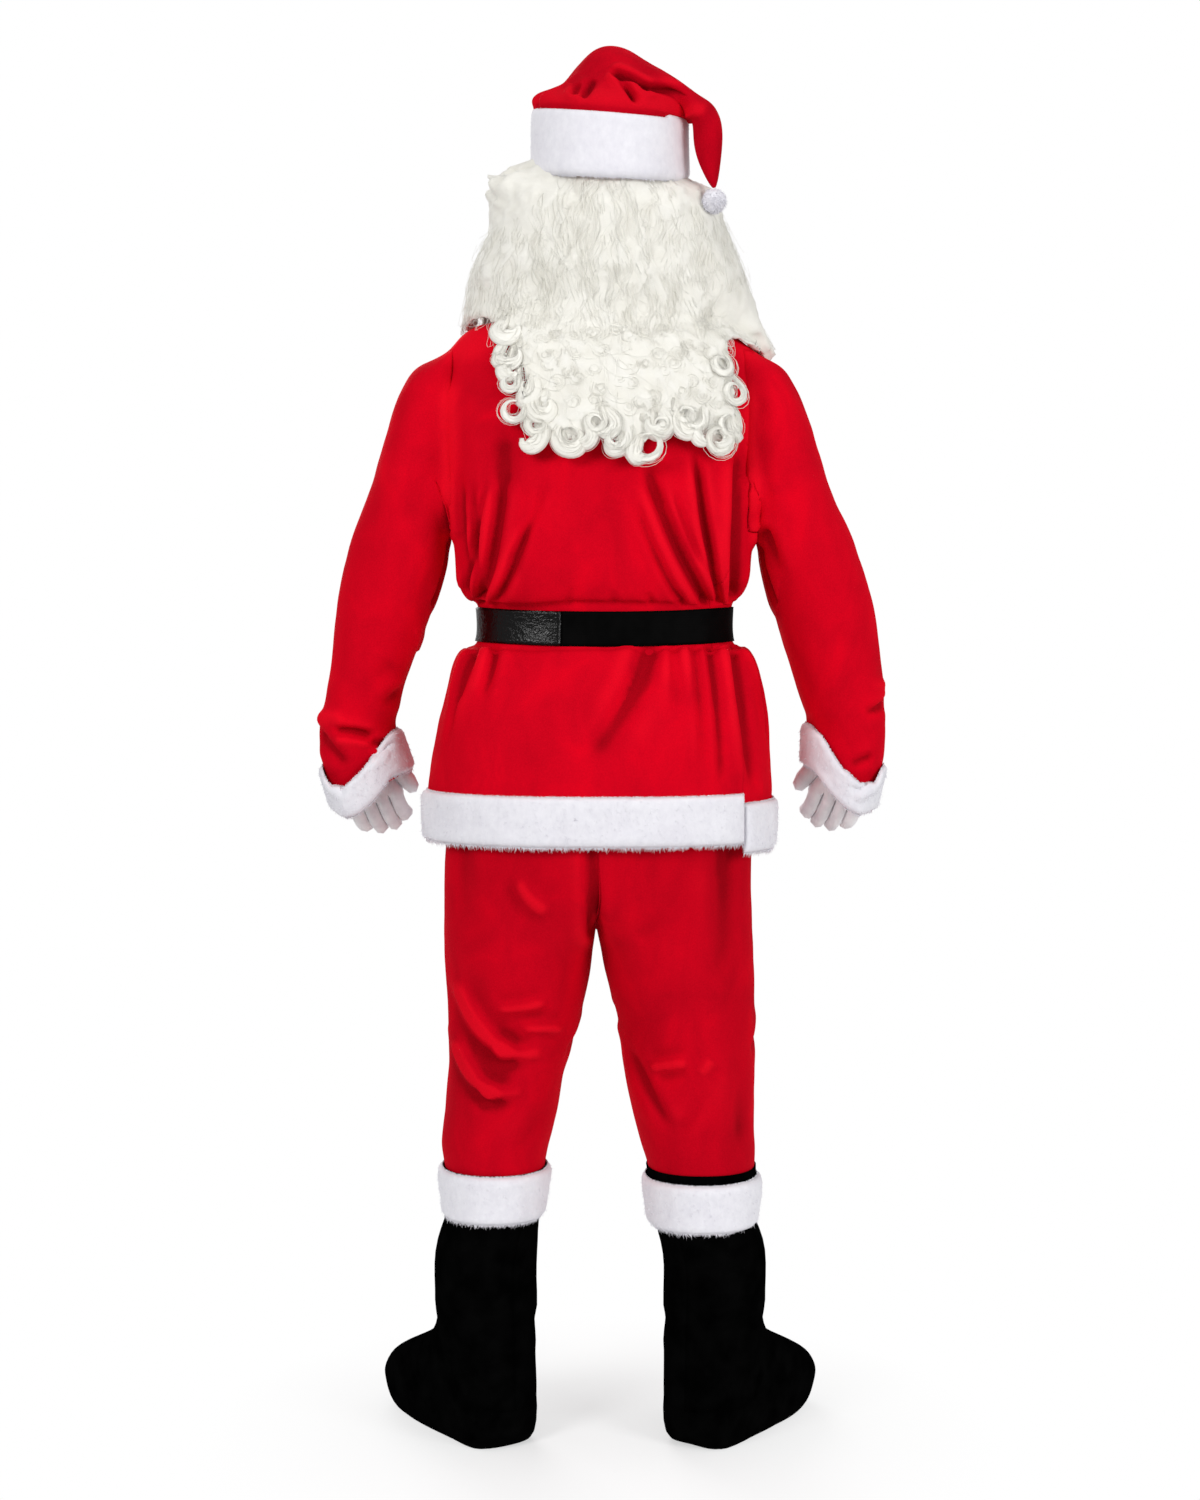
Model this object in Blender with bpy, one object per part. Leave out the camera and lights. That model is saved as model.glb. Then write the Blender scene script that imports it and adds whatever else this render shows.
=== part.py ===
"""A worn Santa suit as hollow cloth, in the pose of a standing figure with nobody inside.

It has a hat, a wig and a beard, a belted jacket, gloves, trousers and boot covers.  Units
are metres and +Z is up.  The front faces -Y and +X is the wearer's left.  Each garment is
first one draped surface, a grid of rings read from short tables of sections.  The surface
is then cut at its seams into panels, and each panel gets its cloth's thickness.  Heights
in the tables are above the floor.  The origin is the middle of the jacket's neck.
"""
import math
from collections import namedtuple

import bmesh
import bpy
from mathutils import Matrix, Vector
from mathutils.geometry import normal as polygon_normal

# Driving dimensions
NECK_HEIGHT = 1.520       # the neck opening's middle above the floor
SEAM_GAP = 0.0003         # between two pieces at a seam or where one lies on another
VELOUR = 0.0016           # thickness of the red cloth
PLUSH = 0.0050            # thickness of the white plush trims with their pile
CASING = 0.0024           # elastic waistband: two layers of cloth round a tape
VINYL = 0.0024            # glossy pebbled part of the belt
SATIN = 0.0016            # plain part of the belt
FELT = 0.0018             # boot cover cloth
SOLE = 0.0030             # boot cover sole
KNIT = 0.0012             # glove cloth
HAIR = 0.020              # reach of the wig's curls outside their netting
NETTING = 0.003           # the wig's netting with flat hair, under the hat
POMPOM_RADIUS = 0.0175
BUCKLE_METAL = 0.0040
BUCKLE_WIDTH, BUCKLE_HEIGHT = 0.066, 0.047
BUCKLE_BAR = 0.0075
BUCKLE_CORNER = 0.008         # radius outside; half of it inside
PRONG_WIDTH, PRONG_DEPTH = 0.007, 0.0028
VINYL_END = 5                 # the column line on the back where the vinyl strap ends
HEM_FRONT_DROP = 0.012        # the front's hem trim hangs lower than the back's
HEM_SLOPE = 0.08              # the jacket spreads by this much for each metre down

UP = Vector((0.0, 0.0, 1.0))
LEFT = Vector((1.0, 0.0, 0.0))
BACK = Vector((0.0, 1.0, 0.0))


# ---------------------------------------------------------------- sections
# A body section is level and closed: reach to each side, to the back and to the front,
# how much lower it runs in front, and how square it is (2 is an ellipse).
Body = namedtuple("Body", "height left right back front front_drop square")

TORSO = {
    "hem": Body(0.815, 0.225, 0.233, 0.158, 0.178, 0.000, 2.3),
    "trim top": Body(0.880, 0.2235, 0.2325, 0.157, 0.177, 0.000, 2.3),
    "skirt": Body(0.932, 0.217, 0.231, 0.152, 0.172, 0.000, 2.3),
    "upper skirt": Body(0.978, 0.206, 0.228, 0.146, 0.166, 0.000, 2.3),
    "hip": Body(1.017, 0.196, 0.221, 0.140, 0.160, 0.000, 2.3),
    "flare": Body(1.046, 0.187, 0.212, 0.132, 0.152, 0.000, 2.3),
    "under belt": Body(1.064, 0.175, 0.199, 0.122, 0.142, 0.000, 2.3),
    "belt bottom": Body(1.074, 0.158, 0.181, 0.113, 0.133, 0.000, 2.3),
    "belt top": Body(1.122, 0.157, 0.180, 0.112, 0.132, 0.000, 2.3),
    "overhang": Body(1.130, 0.168, 0.184, 0.122, 0.142, 0.000, 2.3),
    "blouse": Body(1.152, 0.181, 0.195, 0.134, 0.153, 0.000, 2.4),
    "waist": Body(1.182, 0.184, 0.203, 0.139, 0.157, 0.000, 2.5),
    "underarm": Body(1.220, 0.190, 0.208, 0.140, 0.158, 0.000, 2.6),
    "chest": Body(1.279, 0.196, 0.209, 0.140, 0.154, 0.000, 2.6),
    "blades": Body(1.338, 0.198, 0.209, 0.138, 0.146, 0.000, 2.6),
    "armhole": Body(1.397, 0.198, 0.209, 0.128, 0.132, 0.004, 2.6),
    "shoulder": Body(1.455, 0.192, 0.204, 0.104, 0.106, 0.012, 2.5),
    "slope": Body(1.484, 0.158, 0.167, 0.086, 0.088, 0.020, 2.3),
    "upper slope": Body(1.504, 0.119, 0.124, 0.073, 0.077, 0.028, 2.1),
    "neck": Body(1.532, 0.086, 0.086, 0.066, 0.066, 0.024, 2.0),
}
ARMHOLE_ROWS = ["underarm", "chest", "blades", "armhole", "shoulder"]

# The body is turned a little to its left, and the side seams lie towards the back.
LEFT_SEAM, RIGHT_SEAM, CENTRE_FRONT = 5.0, 142.0, 255.0
BACK_COLUMNS, RIGHT_COLUMNS, LEFT_COLUMNS = 9, 8, 8
RIGHT_ARMHOLE = (10, 14)      # first and last column line of each armhole
LEFT_ARMHOLE = (22, 26)

HIPS = {
    "top": Body(1.0737, 0.1548, 0.1778, 0.1098, 0.1298, 0.0, 2.3),
    "yoke": Body(1.030, 0.168, 0.188, 0.120, 0.138, 0.0, 2.3),
    "hips": Body(0.960, 0.182, 0.198, 0.133, 0.146, 0.0, 2.3),
    "seat": Body(0.890, 0.192, 0.203, 0.142, 0.148, 0.0, 2.3),
    "low seat": Body(0.820, 0.199, 0.206, 0.143, 0.144, 0.0, 2.4),
    "crotch": Body(0.745, 0.203, 0.207, 0.134, 0.126, 0.0, 2.6),
}
HIP_COLUMNS = 20
CROTCH = ((0.070, 0.712), (0.0, 0.690), (-0.066, 0.712))   # y, height from back to front

# A leg section is level: reach of its outer and inner side from the middle plane.
Leg = namedtuple("Leg", "height outer inner back front")
LEG_LEFT = [
    Leg(0.668, 0.203, 0.0040, 0.116, 0.106),
    Leg(0.614, 0.201, 0.012, 0.104, 0.098),
    Leg(0.560, 0.197, 0.024, 0.098, 0.093),
    Leg(0.505, 0.199, 0.041, 0.094, 0.087),
    Leg(0.451, 0.203, 0.051, 0.090, 0.080),
    Leg(0.405, 0.208, 0.063, 0.084, 0.073),
    Leg(0.372, 0.204, 0.069, 0.076, 0.067),
    Leg(0.340, 0.202, 0.074, 0.072, 0.064),
    Leg(0.305, 0.200, 0.078, 0.069, 0.061),
]
LEG_RIGHT = [
    Leg(0.668, 0.209, 0.0055, 0.116, 0.106),
    Leg(0.614, 0.212, 0.017, 0.104, 0.098),
    Leg(0.560, 0.213, 0.029, 0.098, 0.093),
    Leg(0.505, 0.213, 0.037, 0.094, 0.087),
    Leg(0.451, 0.212, 0.047, 0.090, 0.080),
    Leg(0.405, 0.214, 0.059, 0.084, 0.073),
    Leg(0.372, 0.213, 0.069, 0.076, 0.067),
    Leg(0.340, 0.212, 0.074, 0.072, 0.064),
    Leg(0.305, 0.210, 0.079, 0.069, 0.061),
]
LEG_SIDES = 14
INSIDE_BOOT = 3               # how many of the leg's last rings are in the boot's top

# An arm section joins an outer and an inner point of the sleeve's outline: distance from
# the middle plane and height of each, how far forward it lies, and its half depth.
Arm = namedtuple("Arm", "outer outer_height inner inner_height forward half_depth")
ARM_LEFT = [
    Arm(0.236, 1.438, 0.1925, 1.216, 0.010, 0.088),
    Arm(0.264, 1.390, 0.1940, 1.210, 0.006, 0.089),
    Arm(0.283, 1.332, 0.1960, 1.200, 0.004, 0.087),
    Arm(0.302, 1.268, 0.1985, 1.182, 0.004, 0.082),
    Arm(0.327, 1.204, 0.2055, 1.152, 0.004, 0.077),
    Arm(0.344, 1.132, 0.2200, 1.112, 0.008, 0.073),
    Arm(0.351, 1.075, 0.2360, 1.070, 0.014, 0.069),
    Arm(0.358, 1.020, 0.2570, 1.017, 0.022, 0.064),
    Arm(0.371, 0.965, 0.2640, 0.985, 0.032, 0.061),
    Arm(0.368, 0.908, 0.2710, 0.957, 0.040, 0.057),
    Arm(0.352, 0.846, 0.2530, 0.900, 0.048, 0.054),
]
ARM_RIGHT = [
    Arm(0.243, 1.438, 0.2110, 1.216, 0.004, 0.088),
    Arm(0.271, 1.390, 0.2130, 1.210, 0.002, 0.089),
    Arm(0.292, 1.332, 0.2150, 1.200, 0.002, 0.087),
    Arm(0.313, 1.268, 0.2175, 1.182, 0.002, 0.082),
    Arm(0.342, 1.204, 0.2240, 1.152, 0.004, 0.077),
    Arm(0.366, 1.132, 0.2380, 1.112, 0.008, 0.073),
    Arm(0.376, 1.075, 0.2500, 1.070, 0.014, 0.069),
    Arm(0.384, 1.020, 0.2670, 1.017, 0.022, 0.064),
    Arm(0.388, 0.965, 0.2780, 0.985, 0.032, 0.061),
    Arm(0.386, 0.908, 0.2840, 0.965, 0.040, 0.057),
    Arm(0.371, 0.846, 0.2830, 0.908, 0.048, 0.054),
]

# A crown section joins a point of the hat's outer outline to one of its inner outline:
# sideways place and height of each, the half depth, and how far back it lies.
Crown = namedtuple("Crown", "outer outer_height inner inner_height half_depth backward")
CROWN = [
    Crown(0.080, 1.6910, -0.1170, 1.6820, 0.1020, 0.010),
    Crown(0.080, 1.7560, -0.1160, 1.7420, 0.1000, 0.004),
    Crown(0.078, 1.7740, -0.1160, 1.7580, 0.1000, 0.002),
    Crown(0.070, 1.7880, -0.1165, 1.7620, 0.0960, 0.002),
    Crown(0.047, 1.8030, -0.1175, 1.7640, 0.0900, 0.002),
    Crown(0.028, 1.8240, -0.1185, 1.7655, 0.0800, 0.003),
    Crown(-0.004, 1.8490, -0.1195, 1.7660, 0.0680, 0.006),
    Crown(-0.042, 1.8450, -0.1205, 1.7660, 0.0560, 0.012),
    Crown(-0.088, 1.8170, -0.1220, 1.7640, 0.0450, 0.020),
    Crown(-0.130, 1.7880, -0.1235, 1.7580, 0.0360, 0.032),
    Crown(-0.156, 1.7620, -0.1250, 1.7420, 0.0290, 0.044),
    Crown(-0.163, 1.7300, -0.1262, 1.7180, 0.0220, 0.055),
    Crown(-0.1605, 1.6980, -0.1330, 1.6910, 0.0145, 0.063),
    Crown(-0.1555, 1.6722, -0.1470, 1.6703, 0.0060, 0.068),
]
HAT_LEAN = math.radians(9.0)  # the hat leans back
CROWN_SIDES = 16
POMPOM_PLACE = Vector((-0.1515, 0.0690, 1.6510))

# The netting that carries the hair: a body section and the hair's reach outside it.
Hair = namedtuple("Hair", "height left right back front front_drop reach")
HAIR_TOP = Vector((-0.018, 0.002, 1.792))
HAIR_ROWS = [
    Hair(1.784, 0.018, 0.054, 0.036, 0.034, 0.000, NETTING),
    Hair(1.762, 0.044, 0.079, 0.064, 0.062, -0.008, NETTING),
    Hair(1.722, 0.0700, 0.1071, 0.0951, 0.0781, -0.020, NETTING),
    Hair(1.670, 0.0704, 0.1072, 0.0960, 0.0774, -0.022, NETTING),
    Hair(1.646, 0.090, 0.122, 0.092, 0.088, -0.022, 0.024),
    Hair(1.622, 0.103, 0.142, 0.094, 0.094, -0.012, 0.024),
    Hair(1.588, 0.124, 0.156, 0.093, 0.099, 0.000, 0.024),
    Hair(1.552, 0.143, 0.172, 0.089, 0.104, 0.000, 0.024),
    Hair(1.518, 0.150, 0.182, 0.084, 0.110, 0.000, 0.022),
]
# Each column of the hair ends on one of these rows of the jacket.
HAIR_ON_JACKET = ["slope", "shoulder", "armhole", "blades"]
LONGEST_HAIR = ("blades", "chest", 0.60)     # it ends this far down between two rows
LONGEST_HAIR_GAP = 0.0010
WIG_LOWEST = {0: 1, 1: 1, 2: 2, 3: 3, 4: 5, 5: 5, 6: 5, 7: 5, 8: 5, 9: 2, 10: 2, 11: 1, 12: 1}
BEARD_LOWEST = {13: 1, 14: 2, 15: 3, 16: 3, 17: 3, 18: 3, 19: 3, 20: 3, 21: 2, 22: 1}
WIG_LAST_SIDE = (23, 24)      # column bands on the left side that still belong to the wig
BEARD_TOP_ROW = 5             # the beard starts below this row of the hair
FACE_TOP_ROW = 4              # the face is open from this row down to the beard

# A boot section joins an instep point to a heel or sole point, measured forward from the
# ankle along the foot, with a half width and how square it is.
Boot = namedtuple("Boot", "front front_height back back_height half_width square")
BOOT = [
    Boot(0.068, 0.255, -0.072, 0.250, 0.0690, 2.0),
    Boot(0.066, 0.190, -0.070, 0.178, 0.0660, 2.1),
    Boot(0.074, 0.148, -0.072, 0.112, 0.0620, 2.3),
    Boot(0.090, 0.133, -0.074, 0.052, 0.0590, 2.8),
    Boot(0.112, 0.121, -0.058, -0.006, 0.0560, 3.4),
    Boot(0.135, 0.109, 0.010, -0.010, 0.0540, 4.0),
    Boot(0.163, 0.094, 0.082, -0.010, 0.0550, 3.8),
    Boot(0.188, 0.076, 0.146, -0.008, 0.0510, 3.2),
    Boot(0.204, 0.055, 0.190, 0.004, 0.0370, 2.6),
]
BOOT_TIP = (0.210, 0.030)
TOE_OUT = 36.0                # degrees that each foot is turned out
TOE_COLUMN = 3                # the boot's column that ends at the toe
ANKLE = {"left": Vector((0.1500, 0.004, 0.0)), "right": Vector((-0.1600, 0.004, 0.0))}
FIRST_SOLE_ROW = 6            # counted from the boot's top ring
SOLE_COLUMNS = (8, 9, 10, 11)
SOLE_LEVEL = 0.0005

# The largest folds: a line across the cloth seen from one side, sideways place and height
# of each end, the fold's half width, and how far it stands out (or in, when negative).
Fold = namedtuple("Fold", "side x1 height1 x2 height2 half_width rise")
FOLDS = [
    Fold(1, 0.165, 1.250, 0.120, 1.135, 0.020, 0.006),
    Fold(1, 0.100, 1.230, 0.070, 1.130, 0.020, 0.005),
    Fold(1, -0.120, 1.300, -0.150, 1.140, 0.022, -0.006),
    Fold(1, -0.155, 1.320, -0.185, 1.150, 0.018, 0.007),
    Fold(1, 0.150, 1.030, 0.165, 0.940, 0.020, 0.005),
    Fold(1, -0.120, 1.040, -0.130, 0.900, 0.018, 0.005),
    Fold(1, -0.165, 1.040, -0.172, 0.900, 0.016, 0.006),
    Fold(1, 0.120, 0.800, 0.140, 0.700, 0.022, 0.004),
    Fold(1, 0.185, 0.640, 0.110, 0.545, 0.022, -0.006),
    Fold(1, 0.190, 0.550, 0.120, 0.490, 0.022, 0.006),
    Fold(1, -0.170, 0.760, -0.165, 0.600, 0.020, -0.005),
    Fold(1, -0.050, 0.560, -0.120, 0.440, 0.022, -0.005),
    Fold(-1, 0.120, 1.240, 0.080, 1.130, 0.022, 0.006),
    Fold(-1, -0.130, 1.260, -0.090, 1.130, 0.022, 0.006),
    Fold(-1, 0.060, 0.640, 0.150, 0.560, 0.024, 0.006),
    Fold(-1, -0.060, 0.640, -0.160, 0.560, 0.024, 0.006),
]


# ---------------------------------------------------------------- materials
def linear(hex_colour):
    """The linear RGBA of an sRGB colour written as six hex digits."""
    channels = [int(hex_colour[i:i + 2], 16) / 255 for i in (0, 2, 4)]
    return [c / 12.92 if c <= 0.04045 else ((c + 0.055) / 1.055) ** 2.4 for c in channels] + [1.0]


FINISHES = {                  # colour, roughness, metallic
    "velour": ("C8001C", 0.85, 0.0),
    "plush": ("F2F0EA", 0.95, 0.0),
    "hair": ("EFEBDF", 0.70, 0.0),
    "knit": ("F6F5F0", 0.80, 0.0),
    "vinyl": ("0E0E10", 0.25, 0.0),
    "satin": ("141416", 0.45, 0.0),
    "felt": ("0C0C0D", 0.90, 0.0),
    "brass": ("C9A24A", 0.30, 1.0),
}


def finish(piece, kind):
    """Give the piece a material of its own, in one of the suit's finishes."""
    colour, roughness, metallic = FINISHES[kind]
    material = bpy.data.materials.new(piece.name)
    material.use_nodes = True
    shader = material.node_tree.nodes["Principled BSDF"]
    shader.inputs["Base Color"].default_value = linear(colour)
    shader.inputs["Roughness"].default_value = roughness
    shader.inputs["Metallic"].default_value = metallic
    piece.data.materials.append(material)


# ---------------------------------------------------------------- surfaces
class Cloth:
    """One draped surface, in which each face carries the name of its piece."""

    def __init__(self):
        self.bm = bmesh.new()
        self.piece = {}

    def ring(self, points):
        return [self.bm.verts.new(point) for point in points]

    def bridge(self, upper, lower, name_of):
        """Faces between two rings; name_of(column) names a face's piece, None leaves a hole."""
        count = len(upper)
        middle = sum((v.co for v in upper + lower), Vector()) / (2 * count)
        quads = []
        outward = 0.0
        for column in range(count):
            after = (column + 1) % count
            quad = [upper[column], upper[after], lower[after], lower[column]]
            corners = [v.co for v in quad]
            centre = sum(corners, Vector()) / 4
            outward += polygon_normal(corners).dot(centre - middle)
            quads.append((name_of(column), quad))
        for name, quad in quads:
            if name is None:
                continue
            face = self.bm.faces.new(quad if outward > 0 else quad[::-1])
            self.piece[face] = name

    def fan(self, ring, tip_point, name_of):
        """Close a ring with triangles that meet at a tip, facing away from the ring."""
        tip = self.bm.verts.new(tip_point)
        middle = sum((v.co for v in ring), Vector()) / len(ring)
        for column, vert in enumerate(ring):
            triangle = [vert, ring[(column + 1) % len(ring)], tip]
            corners = [v.co for v in triangle]
            centre = sum(corners, Vector()) / 3
            turned = polygon_normal(corners).dot(centre - middle) < 0
            face = self.bm.faces.new(triangle[::-1] if turned else triangle)
            self.piece[face] = name_of(column)

    def settle(self, folds=(), still=()):
        """Push the folds into the surface, but not where it is held still; set its normals."""
        self.bm.normal_update()
        moves = {v: sum(fold_rise(fold, v) for fold in folds) for v in self.bm.verts}
        for vert, rise in moves.items():
            if vert not in still:
                vert.co += vert.normal * rise
        self.bm.normal_update()
        self.bm.verts.index_update()


def fold_rise(fold, vert):
    """How far a fold lifts a vertex: a soft ridge along the fold's line."""
    if vert.normal.y * fold.side < 0.15:
        return 0.0
    start = Vector((fold.x1, fold.height1))
    end = Vector((fold.x2, fold.height2))
    place = Vector((vert.co.x, vert.co.z))
    along = (place - start).dot(end - start) / (end - start).length_squared
    nearest = start.lerp(end, min(max(along, 0.0), 1.0))
    return fold.rise * math.exp(-((place - nearest).length / fold.half_width) ** 2)


def curve(angle, square):
    """Cosine and sine of a superellipse at an angle in degrees."""
    c = math.cos(math.radians(angle))
    s = math.sin(math.radians(angle))
    power = 2 / square
    return math.copysign(abs(c) ** power, c), math.copysign(abs(s) ** power, s)


def body_ring(row, angles):
    """A level ring round the body; 0 degrees is the wearer's left and 90 the back."""
    middle = (row.left - row.right) / 2
    half_width = (row.left + row.right) / 2
    points = []
    for angle in angles:
        c, s = curve(angle, row.square)
        reach = row.back if s > 0 else row.front
        drop = row.front_drop * (1 - s) / 2
        points.append(Vector((middle + half_width * c, reach * s, row.height - drop)))
    return points


def outline_ring(first, second, half_width, width_axis, angles, square=2.0):
    """A ring through two points of an outline, as wide across as width_axis says."""
    middle = (first + second) / 2
    points = []
    for angle in angles:
        c, s = curve(angle, square)
        points.append(middle + (first - middle) * c + width_axis * (half_width * s))
    return points


def spread(first, last, count):
    """count angles from first up to, but not with, last."""
    return [first + (last - first) * i / count for i in range(count)]


def body_angles():
    """The torso's column lines, from the left side seam round the back to the front."""
    return (spread(LEFT_SEAM, RIGHT_SEAM, BACK_COLUMNS)
            + spread(RIGHT_SEAM, CENTRE_FRONT, RIGHT_COLUMNS)
            + spread(CENTRE_FRONT, LEFT_SEAM + 360, LEFT_COLUMNS))


BACK_BANDS = range(0, BACK_COLUMNS)
RIGHT_BANDS = range(BACK_COLUMNS, BACK_COLUMNS + RIGHT_COLUMNS)


def jacket_panel(column):
    if column in BACK_BANDS:
        return "jacket_back"
    return "jacket_front_right" if column in RIGHT_BANDS else "jacket_front_left"


# ---------------------------------------------------------------- pieces
def cut_piece(name, cloth, kind, inner, outer, faces=None, shift=0.0):
    """A closed solid from faces of a cloth: its skins lie inner and outer off the surface.

    Each of the two is a distance or a function of a vertex.  The piece's edge is drawn back
    by half the seam gap.  Without a list of faces, the piece takes those that bear its name.
    """
    if faces is None:
        faces = [face for face in cloth.bm.faces if cloth.piece[face] == name]
    inside = set(faces)
    rims = []
    inward = {}
    for face in faces:
        for loop in face.loops:
            shared = [other for other in loop.edge.link_faces if other in inside]
            if len(shared) > 1:
                continue
            start, end = loop.vert, loop.link_loop_next.vert
            direction = face.normal.cross(end.co - start.co).normalized()
            rims.append((start, end))
            inward.setdefault(start, []).append(direction)
            inward.setdefault(end, []).append(direction)

    bm = bmesh.new()
    skins = {}
    for vert in {v: None for face in faces for v in face.verts}:
        trim = Vector()
        if vert in inward:
            first, second = (inward[vert] * 2)[:2]
            trim = (first + second) * (SEAM_GAP / 2 / max(1 + first.dot(second), 0.5))
        low = inner(vert) if callable(inner) else inner
        high = outer(vert) if callable(outer) else outer
        place = vert.co + trim + UP * (shift - NECK_HEIGHT)
        skins[vert] = (bm.verts.new(place + vert.normal * low),
                       bm.verts.new(place + vert.normal * high))

    for face in faces:
        corners = [loop.vert for loop in face.loops]
        for i in range(1, len(corners) - 1):
            triangle = (corners[0], corners[i], corners[i + 1])
            bm.faces.new([skins[v][1] for v in triangle])
            bm.faces.new([skins[v][0] for v in reversed(triangle)])
    for start, end in rims:
        low_a, high_a = skins[start]
        low_b, high_b = skins[end]
        if start.index < end.index:
            bm.faces.new((high_b, high_a, low_b))
            bm.faces.new((low_b, high_a, low_a))
        else:
            bm.faces.new((high_b, high_a, low_a))
            bm.faces.new((high_b, low_a, low_b))
    return add_piece(name, bm, kind)


def add_piece(name, bm, kind):
    mesh = bpy.data.meshes.new(name)
    bm.to_mesh(mesh)
    bm.free()
    mesh.shade_smooth()
    mesh.set_sharp_from_angle(angle=math.radians(40))
    piece = bpy.data.objects.new(name, mesh)
    bpy.context.collection.objects.link(piece)
    finish(piece, kind)
    return piece


# ---------------------------------------------------------------- jacket
def make_torso():
    """The jacket's body with open armholes; returns the cloth and its rings by row name."""
    cloth = Cloth()
    angles = body_angles()
    rings = {name: cloth.ring(body_ring(row, angles)) for name, row in TORSO.items()}
    names = list(TORSO)
    for lower, upper in zip(names, names[1:]):
        def name_of(column, lower=lower):
            in_hole = lower in ARMHOLE_ROWS[:-1]
            for first, last in (RIGHT_ARMHOLE, LEFT_ARMHOLE):
                if in_hole and (column - first) % len(angles) < last - first:
                    return None
            return jacket_panel(column)
        cloth.bridge(rings[upper], rings[lower], name_of)
    return cloth, rings


def armhole_loop(rings, columns, back_first):
    """The armhole's vertices: over the top from front to back, down, under and up again."""
    count = len(rings["hem"])
    lines = [c % count for c in range(columns[0], columns[1] + 1)]
    if back_first:
        lines.reverse()
    rows = [rings[name] for name in ARMHOLE_ROWS]
    top = [rows[-1][c] for c in lines]
    down = [row[lines[-1]] for row in reversed(rows[1:-1])]
    under = [rows[0][c] for c in reversed(lines)]
    up = [row[lines[0]] for row in rows[1:-1]]
    return top + down + under + up


def arm_points(row, sign):
    """The outer and the inner outline point of an arm section."""
    return (Vector((sign * row.outer, -row.forward, row.outer_height)),
            Vector((sign * row.inner, -row.forward, row.inner_height)))


def add_sleeve(cloth, loop, arm, sign, name):
    """A sleeve from its armhole to its cuff; the last band lies under the plush cuff."""
    step = 360 / len(loop)
    top_lines = RIGHT_ARMHOLE[1] - RIGHT_ARMHOLE[0]
    angles = [step * (i - top_lines / 2) for i in range(len(loop))]
    rings = [loop]
    for row in arm:
        outer, inner = arm_points(row, sign)
        ring = cloth.ring(outline_ring(outer, inner, row.half_depth, BACK, angles, 2.2))
        cloth.bridge(rings[-1], ring, lambda column: name)
        rings.append(ring)
    return rings


def band_faces(cloth, ring_a, ring_b, columns=None):
    """The cloth's faces between two neighbouring rings, or those of some columns."""
    chosen = range(len(ring_a)) if columns is None else columns
    verts_a, verts_b = set(ring_a), set(ring_b)
    count = len(ring_a)
    faces = []
    for column in chosen:
        corners = {ring_a[column % count], ring_a[(column + 1) % count]}
        for face in ring_a[column % count].link_faces:
            held = set(face.verts)
            if corners <= held and held & verts_b and held <= verts_a | verts_b:
                faces.append(face)
    return faces


def make_jacket():
    cloth, rings = make_torso()
    left_loop = armhole_loop(rings, LEFT_ARMHOLE, back_first=False)
    right_loop = armhole_loop(rings, RIGHT_ARMHOLE, back_first=True)
    left = add_sleeve(cloth, left_loop, ARM_LEFT, 1, "sleeve_left")
    right = add_sleeve(cloth, right_loop, ARM_RIGHT, -1, "sleeve_right")
    cloth.settle(FOLDS, still=set(rings["belt bottom"] + rings["belt top"]))
    panels = ("jacket_back", "jacket_front_left", "jacket_front_right",
              "sleeve_left", "sleeve_right")
    for name in panels:
        cut_piece(name, cloth, "velour", -VELOUR, 0.0)
    for name, sleeve in (("cuff_trim_left", left), ("cuff_trim_right", right)):
        faces = band_faces(cloth, sleeve[-2], sleeve[-1])
        cut_piece(name, cloth, "plush", SEAM_GAP, SEAM_GAP + PLUSH, faces)
    make_hem_trims(cloth, rings)
    make_front_trim(cloth, rings)
    make_belt(cloth, rings)
    return cloth, rings


def make_hem_trims(cloth, rings):
    count = BACK_COLUMNS + RIGHT_COLUMNS + LEFT_COLUMNS
    spans = {
        "hem_trim_back": (0, BACK_COLUMNS, 0.0),
        "hem_trim_front_right": (BACK_COLUMNS, BACK_COLUMNS + RIGHT_COLUMNS, -HEM_FRONT_DROP),
        "hem_trim_front_left": (BACK_COLUMNS + RIGHT_COLUMNS, count, -HEM_FRONT_DROP),
    }
    for name, (first, last, shift) in spans.items():
        faces = band_faces(cloth, rings["trim top"], rings["hem"], range(first, last))
        gap = SEAM_GAP - shift * HEM_SLOPE
        cut_piece(name, cloth, "plush", gap, gap + PLUSH, faces, shift)


def make_front_trim(cloth, rings):
    """The plush band over the front closure, pressed flat where the belt crosses it."""
    closure = BACK_COLUMNS + RIGHT_COLUMNS
    names = list(TORSO)
    pressed = set(rings["belt bottom"] + rings["belt top"])
    faces = []
    for lower, upper in zip(names[1:], names[2:]):
        faces += band_faces(cloth, rings[upper], rings[lower], (closure - 1, closure))

    def height(vert):
        return SEAM_GAP + (SATIN if vert in pressed else PLUSH)

    cut_piece("front_trim", cloth, "plush", SEAM_GAP, height, faces)


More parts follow.
